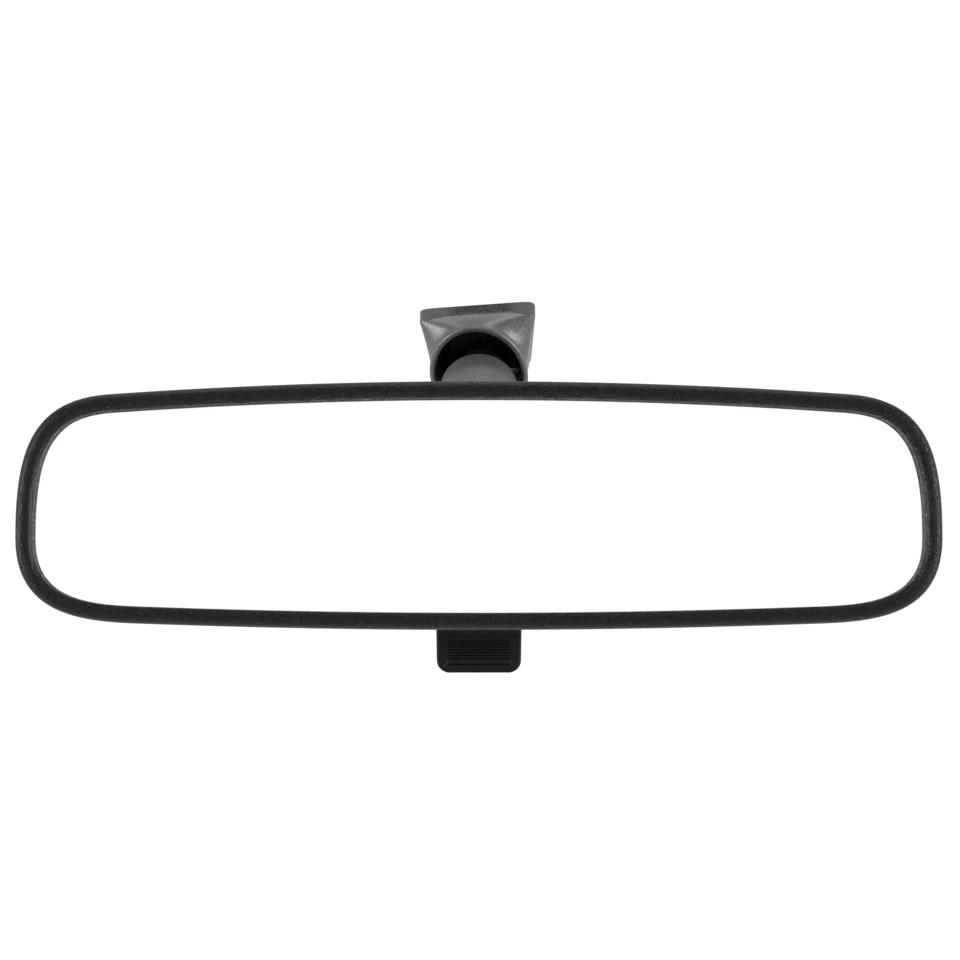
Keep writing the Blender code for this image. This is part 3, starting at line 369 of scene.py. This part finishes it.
sleeveGrey = mouldedPlastic("sleeveGrey", {
    "dark": grey(0.022), "light": grey(0.080), "dust": 0.5,
    "roughness": 0.5, "roughSpread": 0.04, "specular": 0.45,
    "grainScale": 4200, "grainStrength": 0.5, "grainDepth": 0.03 * mm, "cloudScale": 80,
})
leverBlack = mouldedPlastic("leverBlack", {
    "dark": grey(0.0006), "light": grey(0.004), "dust": 0.5,
    "roughness": 0.45, "roughSpread": 0.05, "specular": 0.11,
    "grainScale": 3200, "grainStrength": 0.6, "grainDepth": 0.05 * mm, "cloudScale": 120,
})
frameNylon = mouldedPlastic("frameNylon", {
    "dark": (0.020, 0.020, 0.021), "light": (0.045, 0.045, 0.047), "dust": 0.5,
    "roughness": 0.6, "roughSpread": 0.05, "specular": 0.4,
    "grainScale": 1800, "grainStrength": 0.5, "grainDepth": 0.04 * mm, "cloudScale": 100,
})
acetalWhite = mouldedPlastic("acetalWhite", {
    "dark": (0.60, 0.59, 0.55), "light": (0.72, 0.71, 0.67), "dust": 0.5,
    "roughness": 0.34, "roughSpread": 0.05, "specular": 0.5,
    "grainScale": 900, "grainStrength": 0.15, "grainDepth": 0.02 * mm, "cloudScale": 120,
})
bufferRubber = mouldedPlastic("bufferRubber", {
    "dark": grey(0.018), "light": grey(0.032), "dust": 0.5,
    "roughness": 0.8, "roughSpread": 0.05, "specular": 0.3,
    "grainScale": 1500, "grainStrength": 0.6, "grainDepth": 0.05 * mm, "cloudScale": 90,
})
coatedCasting = mouldedPlastic("coatedCasting", {
    "dark": grey(0.006), "light": grey(0.016), "dust": 0.5,
    "roughness": 0.6, "roughSpread": 0.1, "specular": 0.2,
    "grainScale": 1600, "grainStrength": 0.7, "grainDepth": 0.05 * mm, "cloudScale": 150,
})
# painted reflection: the grey-green of the bezel's inner wall as the glass mirrors it
bezelReflectionGreen = mouldedPlastic("bezelReflectionGreen", {
    "dark": (0.045, 0.065, 0.058), "light": (0.12, 0.16, 0.145), "dust": 0.0,
    "roughness": 0.4, "roughSpread": 0.05, "specular": 0.4,
    "grainScale": 1500, "grainStrength": 0.3, "grainDepth": 0.02 * mm, "cloudScale": 60,
})
ballSteel = brushedMetal("ballSteel", (0.62, 0.62, 0.63), 0.22)
springSteel = brushedMetal("springSteel", (0.46, 0.46, 0.47), 0.3)
screwSteel = brushedMetal("screwSteel", (0.58, 0.58, 0.56), 0.34)
sinteredSteel = brushedMetal("sinteredSteel", (0.20, 0.19, 0.18), 0.5, (1, 1, 1))
silver = silverLayer()
floatGlass = clearGlass()
print("finishes ready")


# the head's outline: bowed edges, with each corner as (reach, handle on the edge, handle on the side)
headShape = {
    "width": headHigh.x - headLow.x, "height": headHigh.z - headLow.z, "sideDrop": 8.8 * mm,
    "topBow": 3.5 * mm, "topCorner": (25.2 * mm, 21.5 * mm, 22.5 * mm),
    "bottomBow": 1.6 * mm, "bottomCorner": (36.0 * mm, 15.0 * mm, 22.5 * mm),
    "edgeSteps": 16, "cornerSteps": 26,
}


def headQuarter(sign, bow, corner):
    # from the middle of the top or bottom edge round the corner to the widest point of the side;
    # the edge's own two handles are each a third of its length
    half, top = headShape["width"] / 2, headShape["height"] / 2
    reach, edgeHandle, sideHandle = corner
    middle = Vector((0, sign * top))
    turn = Vector((half - reach, sign * (top - bow)))
    side = Vector((half, -headShape["sideDrop"]))
    slope = Vector((turn.x, -sign * 2 * bow)).normalized()
    edge = interpolate_bezier(
        middle, middle + Vector((turn.x / 3, 0)), turn - slope * turn.x / 3, turn, headShape["edgeSteps"] + 1)
    bend = interpolate_bezier(
        turn, turn + slope * edgeHandle, side + Vector((0, sign * sideHandle)), side,
        headShape["cornerSteps"] + 1)
    return [Vector(point[:2]) for point in edge + bend[1:]]


def headOutline(inset=0.0):
    # right half from the top middle to the bottom middle, then mirrored and moved inwards
    right = headQuarter(1, headShape["topBow"], headShape["topCorner"])
    right += headQuarter(-1, headShape["bottomBow"], headShape["bottomCorner"])[-2::-1]
    loop = right + [Vector((-point.x, point.y)) for point in right[-2:0:-1]]
    moved = []
    for n, point in enumerate(loop):
        along = loop[(n + 1) % len(loop)] - loop[n - 1]
        inward = Vector((along.y, -along.x)).normalized()
        if inward.dot(point) > 0:
            inward = -inward
        moved.append(point + inward * inset)
    return moved


def headRing(inset, depth):
    return [headMid + Vector((point.x, depth, point.y)) for point in headOutline(inset)]


bezelShape = {
    "width": 4.7 * mm, "depth": 6.0 * mm, "rearFlat": 0.3 * mm,
    "outerRound": 2.3 * mm, "innerRound": 1.9 * mm, "crownDip": 0.05 * mm, "crownShare": 0.54, "steps": 8,
    "undercut": 0.5 * mm, "lipDepth": 2.6 * mm, "lipSlope": 0.3 * mm,
    "skirtInset": 2.5 * mm, "skirtWall": 1.2 * mm, "skirtReach": 1.6 * mm,
}


def buildBezel():
    # the bezel's section as (inset from the outline, depth), from its rear edge over the crown
    shape = bezelShape
    outer, inner, dip, steps = shape["outerRound"], shape["innerRound"], shape["crownDip"], shape["steps"]
    width, depth = shape["width"], shape["depth"]
    skirtIn, skirtEnd = shape["skirtInset"] + shape["skirtWall"], depth + shape["skirtReach"]
    section = [(0.0, depth), (0.0, depth - shape["rearFlat"])]
    section += arcPoints(outer, outer + dip, outer, 180, 270, steps)
    section += [(width * shape["crownShare"], 0.0)]
    section += arcPoints(width - inner, inner + dip, inner, 270, 360, steps)
    section += [
        (width - shape["undercut"], shape["lipDepth"]), (skirtIn, shape["lipDepth"] + shape["lipSlope"]),
        (skirtIn, skirtEnd), (shape["skirtInset"], skirtEnd), (shape["skirtInset"], depth),
    ]
    rings = [headRing(inset, place) for inset, place in section]
    newPiece("frontBezel", loft(rings, joined=True), headBlack, "head", ["front_bezel"])


glassShape = {
    "edgeInset": 4.0 * mm, "bevel": 0.5 * mm, "front": 3.2 * mm, "top": 4.0 * mm, "bottom": 2.2 * mm,
    "skin": 0.05 * mm, "skinInset": 0.3 * mm,
    "lineInset": 4.2 * mm, "lineWidth": 0.85 * mm, "lineLow": 0.02 * mm, "lineHigh": 0.05 * mm,
    "lineLeast": 0.45, "lineGain": 1.3, "smoothAngle": 20,
}


def wedgeAt(z):
    # the glass is thicker at the top than at the bottom
    share = (z + headShape["height"] / 2) / headShape["height"]
    return glassShape["bottom"] + (glassShape["top"] - glassShape["bottom"]) * share


def backRing(inset, beyond):
    # a ring on the glass's sloping back face, or a little behind it
    front = glassShape["front"] + beyond
    return [headMid + Vector((p.x, front + wedgeAt(p.y), p.y)) for p in headOutline(inset)]


def glassPiece(name, bm, finish, replaces=()):
    newPiece(name, bm, finish, "head", replaces, glassShape["smoothAngle"])


def buildGlass():
    shape = glassShape
    inset, bevel, front = shape["edgeInset"], shape["bevel"], shape["front"]
    rings = [headRing(inset + bevel, front), headRing(inset, front + bevel), backRing(inset, 0.0)]
    glassPiece("prismGlass", loft(rings, capStart=True, capEnd=True), floatGlass, ["prism_glass"])
    outside, inside = headOutline(shape["lineInset"]), headOutline(shape["lineInset"] + shape["lineWidth"])
    narrow = []
    for one, two in zip(outside, inside):
        acrossShare = min(1.0, shape["lineGain"] * abs(two.x - one.x) / (two - one).length)
        narrow.append(one.lerp(two, shape["lineLeast"] + (1 - shape["lineLeast"]) * acrossShare))
    low, high = front - shape["lineLow"], front - shape["lineHigh"]
    # painted reflection: a grey-green strip on the glass's front stands for the bezel's inner wall mirrored
    # in the glass; it is widest at the sides and fades along the top and the bottom
    turns = [(outside, low), (narrow, low), (narrow, high), (outside, high)]
    rings = [[headMid + Vector((p.x, depth, p.y)) for p in loop] for loop, depth in turns]
    glassPiece("bezelReflectionStrip", loft(rings, joined=True), bezelReflectionGreen)
    rings = [backRing(inset + shape["skinInset"], shape["skin"] * n) for n in (1, 2)]
    glassPiece("silvering", loft(rings, capStart=True, capEnd=True), silver)


housingShape = {
    "gap": 0.3 * mm, "rim": 1.2 * mm, "depth": 28 * mm, "wall": 1.8 * mm,
    "plateauX": 0.40, "plateauZ": 0.62, "domeSteps": 14, "smoothAngle": 40,
    "wellRadius": 13.8 * mm, "wellMouth": 16.4 * mm, "wellDepth": 30 * mm, "wellRise": 9 * mm,
    "wellShift": 1.2 * mm, "wellSides": 72,
    "slotHalf": 12.25 * mm, "slotFront": 7.9 * mm, "slotBack": 22.5 * mm, "slotRise": 6 * mm,
    "screwPosts": (27.5 * mm, 14 * mm, 3.4 * mm, 22.3 * mm),  # across, up, radius, depth of the face
    "padPosts": (72 * mm, 13 * mm, 4 * mm, 9.6 * mm), "postEnd": 26.6 * mm, "postSides": 24,
}


def domeRing(turn):
    # ring of the domed back, from its rim at 0 to its flat plateau at 1
    shape = housingShape
    angle = turn * math.pi / 2
    rim = bezelShape["depth"] + shape["gap"] + shape["rim"]
    depth = rim + (shape["depth"] - rim) * math.sin(angle)
    narrow = 1 - math.cos(angle)
    acrossShare = 1 - (1 - shape["plateauX"]) * narrow
    upShare = 1 - (1 - shape["plateauZ"]) * narrow
    return [headMid + Vector((p.x * acrossShare, depth, p.y * upShare)) for p in headOutline()]


def cutWell(housing):
    # the flared round opening that the arm reaches through
    shape = housingShape
    well = rodMesh(shape["wellRadius"], shape["wellDepth"], shape["wellSides"], shape["wellMouth"])
    lift = armAxis.cross(sideways) * -shape["wellShift"]
    well.transform(axisPlace(lowerBall + armAxis * shape["wellRise"] + lift, armAxis))
    cutAway(housing, well)


def cutLeverSlot(housing):
    shape = housingShape
    bottom = headShape["height"]
    low = Vector((-shape["slotHalf"], shape["slotFront"], -bottom))
    high = Vector((shape["slotHalf"], shape["slotBack"], -bottom / 2 + shape["slotRise"]))
    cutAway(housing, boxMesh(headMid + low, headMid + high))


def addPosts(housing):
    # four posts for the frame's screws and four behind the glass pads
    shape = housingShape
    inside = bmesh.new()
    inside.from_mesh(housing.data)
    for across, up, radius, face in (shape["screwPosts"], shape["padPosts"]):
        for x in (-across, across):
            for z in (-up, up):
                post = rodMesh(radius, shape["postEnd"] - face, shape["postSides"])
                middle = headMid + Vector((x, (face + shape["postEnd"]) / 2, z))
                post.transform(axisPlace(middle, Vector((0, 1, 0))))
                addShell(inside, post)
    inside.to_mesh(housing.data)
    inside.free()


def buildHousing():
    shape = housingShape
    steps = shape["domeSteps"]
    rings = [headRing(0.0, bezelShape["depth"] + shape["gap"])]
    rings += [domeRing(n / steps) for n in range(steps + 1)]
    housing = newPiece(
        "rearHousing", loft(rings, capEnd=True), headBlack, "head", ["rear_housing"])
    wall = housing.modifiers.new("wall", "SOLIDIFY")
    wall.thickness = shape["wall"]
    wall.offset = -1.0
    wall.use_even_offset = True
    applyAll(housing)
    cutWell(housing)
    cutLeverSlot(housing)
    addPosts(housing)
    smoothFaces(housing.data, shape["smoothAngle"])


leverShape = {
    "pinDepth": 14.5 * mm, "pinInset": 13.4 * mm, "tiltPinInset": 8.8 * mm,
    "tabWidth": 23.8 * mm, "tipWidth": 22.9 * mm, "tabLength": 12.1 * mm, "thickness": 3.4 * mm,
    "corner": 3.3 * mm, "cornerSteps": 12, "edge": 0.7 * mm, "edgeMost": 0.4, "edgeSteps": 5,
    "bend": 1.5 * mm, "lean": 18.5, "rowStart": 0.1 * mm, "rowPitch": 0.065 * mm,
    "panelHalf": 8.4 * mm, "panelSlope": 0.25 * mm, "panelDip": 0.12 * mm,
    "panelTop": -2.9 * mm, "panelLow": -9.9 * mm,
    "ribs": 9, "ribPitch": 0.78 * mm, "ribTop": -3.1 * mm, "grooveDip": 0.28 * mm, "grooveSharp": 1.5,
    "hubRadius": 3.2 * mm, "hubHalf": 18.5 * mm, "hubSides": 40,
    "swing": 32, "crankHalf": 6 * mm, "crankWeb": 1.8 * mm, "crankInset": 0.3 * mm,
    "crankPin": 1.5 * mm, "pinSides": 32, "smoothAngle": 30,
}


def panelDip(z):
    # how deep the tab's face lies at a height below the head's edge
    shape = leverShape
    if not shape["panelLow"] < z < shape["panelTop"]:
        return 0.0
    place = (shape["ribTop"] - z) / shape["ribPitch"]
    groove = 0.0
    if 0 <= place <= shape["ribs"]:
        wave = max(0.0, math.cos(2 * math.pi * (place - 0.5)))
        groove = wave ** shape["grooveSharp"] * shape["grooveDip"]
    return shape["panelDip"] + groove


def leverSection(half, z, y):
    # cross section of the tab with rounded edges and the sunk panel on its front
    shape = leverShape
    deep, steps = shape["thickness"] / 2, shape["edgeSteps"]
    edge = min(shape["edge"], half * shape["edgeMost"])
    points = [(half - edge + px, -deep + edge + py) for px, py in arcPoints(0, 0, edge, -90, 0, steps)]
    points += [(half - edge + px, deep - edge + py) for px, py in arcPoints(0, 0, edge, 0, 90, steps)]
    points += [(-x, d) for x, d in points[::-1]]
    face = -deep + panelDip(z + shape["pinInset"])
    panel, rim = shape["panelHalf"], shape["panelHalf"] + shape["panelSlope"]
    points += [(-rim, -deep), (-panel, face), (panel, face), (rim, -deep)]
    return [Vector((x, y + d, z)) for x, d in points]


def tabRings():
    # rows from the tab's rounded tip up to the hub, close enough together for the ribs
    shape = leverShape
    tip, bend = -shape["pinInset"] - shape["tabLength"], -shape["pinInset"] - shape["bend"]
    corner, steps = shape["corner"], shape["cornerSteps"]
    levels = []
    for n in range(steps + 1):
        angle = math.pi / 2 * n / steps
        levels.append((tip + corner * (1 - math.cos(angle)), corner * (1 - math.sin(angle))))
    z = tip + corner + shape["rowStart"]
    while z < bend:
        levels.append((z, 0.0))
        z += shape["rowPitch"]
    levels += [(bend, 0.0), (-shape["hubRadius"] / 3, 0.0)]
    rings = []
    for z, inset in levels:
        share = (z - tip) / -tip
        half = (shape["tipWidth"] + (shape["tabWidth"] - shape["tipWidth"]) * share) / 2 - inset
        rings.append(leverSection(half, z, -max(z, bend) * math.tan(math.radians(shape["lean"]))))
    return rings


def crankReach():
    # the crank is just long enough to swing the head by the glare tilt
    shape = leverShape
    travel = (headShape["height"] - shape["tiltPinInset"] - shape["pinInset"]) * math.tan(glareTilt)
    return travel / (2 * math.sin(math.radians(shape["swing"] / 2)) + math.tan(glareTilt))


def buildLever():
    shape = leverShape
    acrossTurn = Matrix.Rotation(math.pi / 2, 4, "Y")
    lever = loft(tabRings(), capStart=True, capEnd=True)
    hub = rodMesh(shape["hubRadius"], 2 * shape["hubHalf"], shape["hubSides"])
    hub.transform(acrossTurn)
    addShell(lever, hub)
    reach = crankReach()
    across, deep = shape["crankHalf"] - shape["crankInset"], shape["crankWeb"] / 2
    web = boxMesh(Vector((-across, -deep, 0)), Vector((across, deep, reach)))
    pin = rodMesh(shape["crankPin"], 2 * shape["crankHalf"], shape["pinSides"])
    pin.transform(Matrix.Translation((0, 0, reach)) @ acrossTurn)
    for shell in (web, pin):
        shell.transform(Matrix.Rotation(math.radians(shape["swing"] / 2), 4, "X"))
        addShell(lever, shell)
    pinPlace = Vector((0, shape["pinDepth"], -headShape["height"] / 2 + shape["pinInset"]))
    lever.transform(Matrix.Translation(headMid + pinPlace))
    newPiece(
        "flipLever", lever, leverBlack, "lever", ["flip_lever"], shape["smoothAngle"])


armShape = {
    "length": 44 * mm, "radius": 10.8 * mm, "wall": 1.8 * mm, "sides": 128,
    "topEnd": 6.6 * mm, "round": 1.6 * mm, "roundSteps": 8, "boreFlare": 0.15 * mm, "boreRim": 0.2 * mm,
    "taper": 16 * mm, "taperSteps": 16, "lowRadius": 8.5 * mm, "lowEnd": 5.5 * mm,
    "lowRound": 0.8 * mm, "lowSteps": 5, "lipHeight": 4.2 * mm, "lipFlare": 1.3 * mm,
    "socket": 7.2 * mm, "socketSteps": 10, "socketShort": 0.6 * mm,
}


def buildSleeve():
    # the arm's tube turned about its axis: bore, rounded top, taper, lower lip and ball socket
    shape = armShape
    radius, lowRadius, rounded, socket = (shape[key] for key in ("radius", "lowRadius", "round", "socket"))
    top, bore = shape["length"] + shape["topEnd"], radius - shape["wall"]
    profile = [(bore, top - shape["boreRim"]), (bore + shape["boreFlare"], top)]
    profile += arcPoints(radius - rounded, top - rounded, rounded, 90, 0, shape["roundSteps"])
    low = -shape["lowEnd"] + shape["lowRound"]
    for n in range(shape["taperSteps"] + 1):
        share = n / shape["taperSteps"]
        ease = share * share * (3 - 2 * share)
        height = shape["taper"] + (low - shape["taper"]) * share
        profile.append((radius - (radius - lowRadius) * ease, height))
    lowRound, lowSteps = shape["lowRound"], shape["lowSteps"]
    profile += arcPoints(lowRadius - lowRound, low, lowRound, 0, -90, lowSteps)[1:]
    lip = math.sqrt(socket ** 2 - shape["lipHeight"] ** 2)
    profile += [(lip + shape["lipFlare"], -shape["lowEnd"])]
    profile += arcPoints(0, 0, socket, -math.degrees(math.acos(lip / socket)), 0, shape["socketSteps"])
    shoulder = shape["length"] - shape["socketShort"]
    profile += [(socket, shoulder), (bore, shoulder)]
    sleeve = turnedMesh(profile, shape["sides"])
    sleeve.transform(axisPlace(lowerBall, armAxis))
    newPiece("armSleeve", sleeve, sleeveGrey, "arm", ["arm_sleeve"])


# the hood is drawn with its foot level, then raked and swivelled to the windscreen
hoodShape = {
    "rake": 28, "swivel": 8, "skewShare": 0.4, "wall": 1.3 * mm, "wallSlant": 1.1, "points": 160, "steps": 22,
    "footWidth": 33.8 * mm, "footBack": 26.0 * mm, "footLength": 31.4 * mm, "footPower": 12.0,
    "roundOff": 1.7,
    "top": 0.3 * mm, "rim": 0.4 * mm, "band": 2.1 * mm, "bandCorner": 2.6 * mm,
    "crease": 0.4 * mm, "creaseDrop": 0.35 * mm, "frontHollow": 0.9 * mm,
    "mouthWidth": 27 * mm, "mouthLength": 32.4 * mm, "mouthAlong": -4.9 * mm, "mouthDown": 16.5 * mm,
    "mouthTilt": 25, "lip": 0.4 * mm, "lipDrop": 0.35 * mm, "lipFlat": 0.8, "lipSteps": 8,
    "baseHalf": (10.35 * mm, 12.85 * mm), "basePower": 16, "shelfLow": 2.7 * mm, "shelfTop": 1.5 * mm,
    "smoothAngle": 32,
}


def hoodAngles():
    count = hoodShape["points"]
    return [2 * math.pi * (n + 0.5) / count for n in range(count)]


def hoodFoot(angle, power):
    # the foot's outline, narrower at the back and skewed by the swivel
    shape = hoodShape
    px, py = squarishPoint(angle, power)
    half = (shape["footWidth"] + (shape["footBack"] - shape["footWidth"]) * (py + 1) / 2) / 2
    along = py * shape["footLength"] / 2
    skew = math.tan(math.radians(shape["swivel"])) * shape["skewShare"] * along
    return Vector((half * px - skew, along))


def hoodMouth(angle):
    # the mouth is an ellipse tilted towards the head
    shape = hoodShape
    tilt = math.radians(shape["mouthTilt"])
    reach = math.sin(angle) * shape["mouthLength"] / 2
    across = math.cos(angle) * shape["mouthWidth"] / 2
    along, down = shape["mouthAlong"] + reach * math.cos(tilt), shape["mouthDown"] + reach * math.sin(tilt)
    return Vector((across, along, -down))


def towardsMouthMiddle(point):
    middle = Vector((0, hoodShape["mouthAlong"], -hoodShape["mouthDown"]))
    return (middle - point).normalized()


def hoodColumn(angle, inset):
    # from the foot's top edge down its straight band, over the crease and down the bell to the mouth
    shape = hoodShape
    foot, mouth = hoodFoot(angle, shape["footPower"]), hoodMouth(angle)
    inward = -foot.normalized()
    slant = inset * shape["wallSlant"]
    edge = foot + inward * slant
    acrossShare, alongShare = abs(foot.x) / (shape["footWidth"] / 2), foot.y / (shape["footLength"] / 2)
    toCorner = min(1.0, acrossShare) ** 2 * min(1.0, abs(alongShare)) ** 2
    band = shape["band"] + shape["bandCorner"] * toCorner
    crease = shape["crease"] * (1 - toCorner)
    column = [Vector((edge.x, edge.y, -z)) for z in (shape["top"], shape["top"] + shape["rim"], band)]
    start, target = -band - shape["creaseDrop"], mouth + towardsMouthMiddle(mouth) * inset
    frontal = max(0.0, -alongShare) * max(0.0, 1 - acrossShare)
    for n in range(shape["steps"] + 1):
        share = n / shape["steps"]
        plan = hoodFoot(angle, 2 + (shape["footPower"] - 2) * (1 - share) ** shape["roundOff"])
        plan -= plan.normalized() * (slant + crease)
        hollow = shape["frontHollow"] * math.sin(math.pi * share) * frontal
        column.append(Vector((plan.x, plan.y, start)).lerp(target, share) + inward.to_3d() * hollow)
    return column


def hoodSkin(inset):
    columns = [hoodColumn(angle, inset) for angle in hoodAngles()]
    return [list(ring) for ring in zip(*columns)]


def hoodLip():
    # rounded lip round the mouth, from the outer skin to the inner one
    shape = hoodShape
    tilt = math.radians(shape["mouthTilt"])
    down = Vector((0, -math.sin(tilt), -math.cos(tilt)))
    half = (shape["wall"] + shape["lip"]) / 2
    rings = []
    for px, py in arcPoints(0, 0, 1.0, 0, -180, shape["lipSteps"]):
        inwards = half - shape["lip"] - px * half
        drop = down * (shape["lipDrop"] - py * half * shape["lipFlat"])
        mouths = [hoodMouth(angle) for angle in hoodAngles()]
        rings.append([mouth + towardsMouthMiddle(mouth) * inwards + drop for mouth in mouths])
    return rings


def hoodShelf():
    # ledge inside the foot that runs in to the cast base and closes the gap round it
    shape = hoodShape
    inner, base = [], []
    for angle in hoodAngles():
        foot = hoodFoot(angle, shape["footPower"])
        inner.append(foot * (1 - shape["wall"] * shape["wallSlant"] / foot.length))
        px, py = squarishPoint(angle, shape["basePower"])
        base.append(Vector((shape["baseHalf"][0] * px, shape["baseHalf"][1] * py)))
    low, top = shape["shelfLow"], shape["shelfTop"]
    turns = ((inner, low), (base, low), (base, top), (inner, top))
    return [[Vector((p.x, p.y, -z)) for p in ring] for ring, z in turns]


def buildHood():
    shape = hoodShape
    outer, inner = hoodSkin(0.0), hoodSkin(shape["wall"])
    rings = outer + hoodLip() + inner[:2:-1] + hoodShelf() + [inner[0]]
    hood = loft(rings, joined=True)
    rake = Matrix.Rotation(-math.radians(shape["rake"]), 4, "X")
    hood.transform(rake @ Matrix.Rotation(-math.radians(shape["swivel"]), 4, "Z"))
    hood = newPiece(
        "mountHood", hood, hoodBlack, "mount", ["mount_hood"], shape["smoothAngle"])
    # painted shade: the band gets the darker copy of the hood's plastic
    hood.data.materials.append(hoodBandShade)
    for face in hood.data.polygons[:2 * shape["points"]]:
        face.material_index = 1  # the first two rows of faces are the straight band of the foot, given the darker copy of the plastic as painted shade


buildBezel()
buildGlass()
buildHousing()
print("head built")
buildLever()
buildSleeve()
buildHood()
print("lever, sleeve and hood built")

# parts that keep their own shape only get a finish, by the start of their names
partFinish = {
    "mount_base": coatedCasting, "windscreen_button": sinteredSteel, "button_clip": springSteel,
    "clip_rivet": screwSteel, "upper_ball_stud": ballSteel, "lower_ball_stud": ballSteel,
    "sleeve_cap": frameNylon, "upper_cup": acetalWhite, "lower_cup": acetalWhite, "arm_spring": springSteel,
    "upper_ball_liner": acetalWhite, "lower_ball_liner": acetalWhite, "swing_bracket": coatedCasting,
    "lever_frame": frameNylon, "tilt_pin": ballSteel, "lever_pin": ballSteel, "detent_spring": springSteel,
    "backing_film": bufferRubber, "frame_screw": screwSteel, "glass_pad": bufferRubber,
}
for node, part in frame["nodes"].items():
    for start, finish in partFinish.items():
        if node.startswith(start):
            part.data.materials.clear()
            part.data.materials.append(finish)
print("inner parts finished")

studio = {
    "cameraBack": 1.3, "viewWidth": 0.2583, "aimRise": 6.9 * mm, "aimSide": 0.3 * mm,
    "sensor": 36, "farClip": 50, "skyStrength": 1.06,
    "floorDrop": 1.0, "floorSize": 60, "floorTone": 0.97, "floorRoughness": 0.7,
    "lights": (  # name, place from the head, size, power
        ("leftLight", (-1.4, -0.5, 0.1), (0.35, 1.0), 40),
        ("rightLight", (1.4, -0.5, 0.1), (0.35, 1.0), 40),
        ("topLight", (0, 0.05, 1.4), (1.2, 0.4), 14),
    ),
}


def placeCamera(scene):
    lens = bpy.data.cameras.new("camera")
    lens.sensor_width = studio["sensor"]
    lens.lens = studio["sensor"] * studio["cameraBack"] / studio["viewWidth"]
    lens.clip_end = studio["farClip"]
    camera = bpy.data.objects.new("camera", lens)
    scene.collection.objects.link(camera)
    camera.location = headMid + Vector((studio["aimSide"], -studio["cameraBack"], studio["aimRise"]))
    camera.rotation_euler = (math.pi / 2, 0, 0)
    scene.camera = camera


def whiteSurround(scene):
    scene.view_settings.view_transform = "Standard"
    scene.world = bpy.data.worlds.new("world")
    scene.world.use_nodes = True
    background = scene.world.node_tree.nodes["Background"]
    background.inputs["Color"].default_value = (1, 1, 1, 1)
    background.inputs["Strength"].default_value = studio["skyStrength"]


def placeLights(scene):
    for name, place, size, power in studio["lights"]:
        light = bpy.data.lights.new(name, "AREA")
        light.shape = "RECTANGLE"
        light.size, light.size_y = size
        light.energy = power
        lamp = bpy.data.objects.new(name, light)
        scene.collection.objects.link(lamp)
        lamp.location = headMid + Vector(place)
        lamp.rotation_euler = (headMid - lamp.location).to_track_quat("-Z", "Y").to_euler()


def layFloor():
    below = (0, 0, headLow.z - studio["floorDrop"])
    bpy.ops.mesh.primitive_plane_add(size=studio["floorSize"], location=below)
    floor = bpy.context.object
    floor.name = "floor"
    kit = Nodes("paleFloor")
    kit.shader.inputs["Base Color"].default_value = (*grey(studio["floorTone"]), 1)
    kit.shader.inputs["Roughness"].default_value = studio["floorRoughness"]
    floor.data.materials.append(kit.material)


placeCamera(bpy.context.scene)
whiteSurround(bpy.context.scene)
placeLights(bpy.context.scene)
layFloor()
print("studio ready")
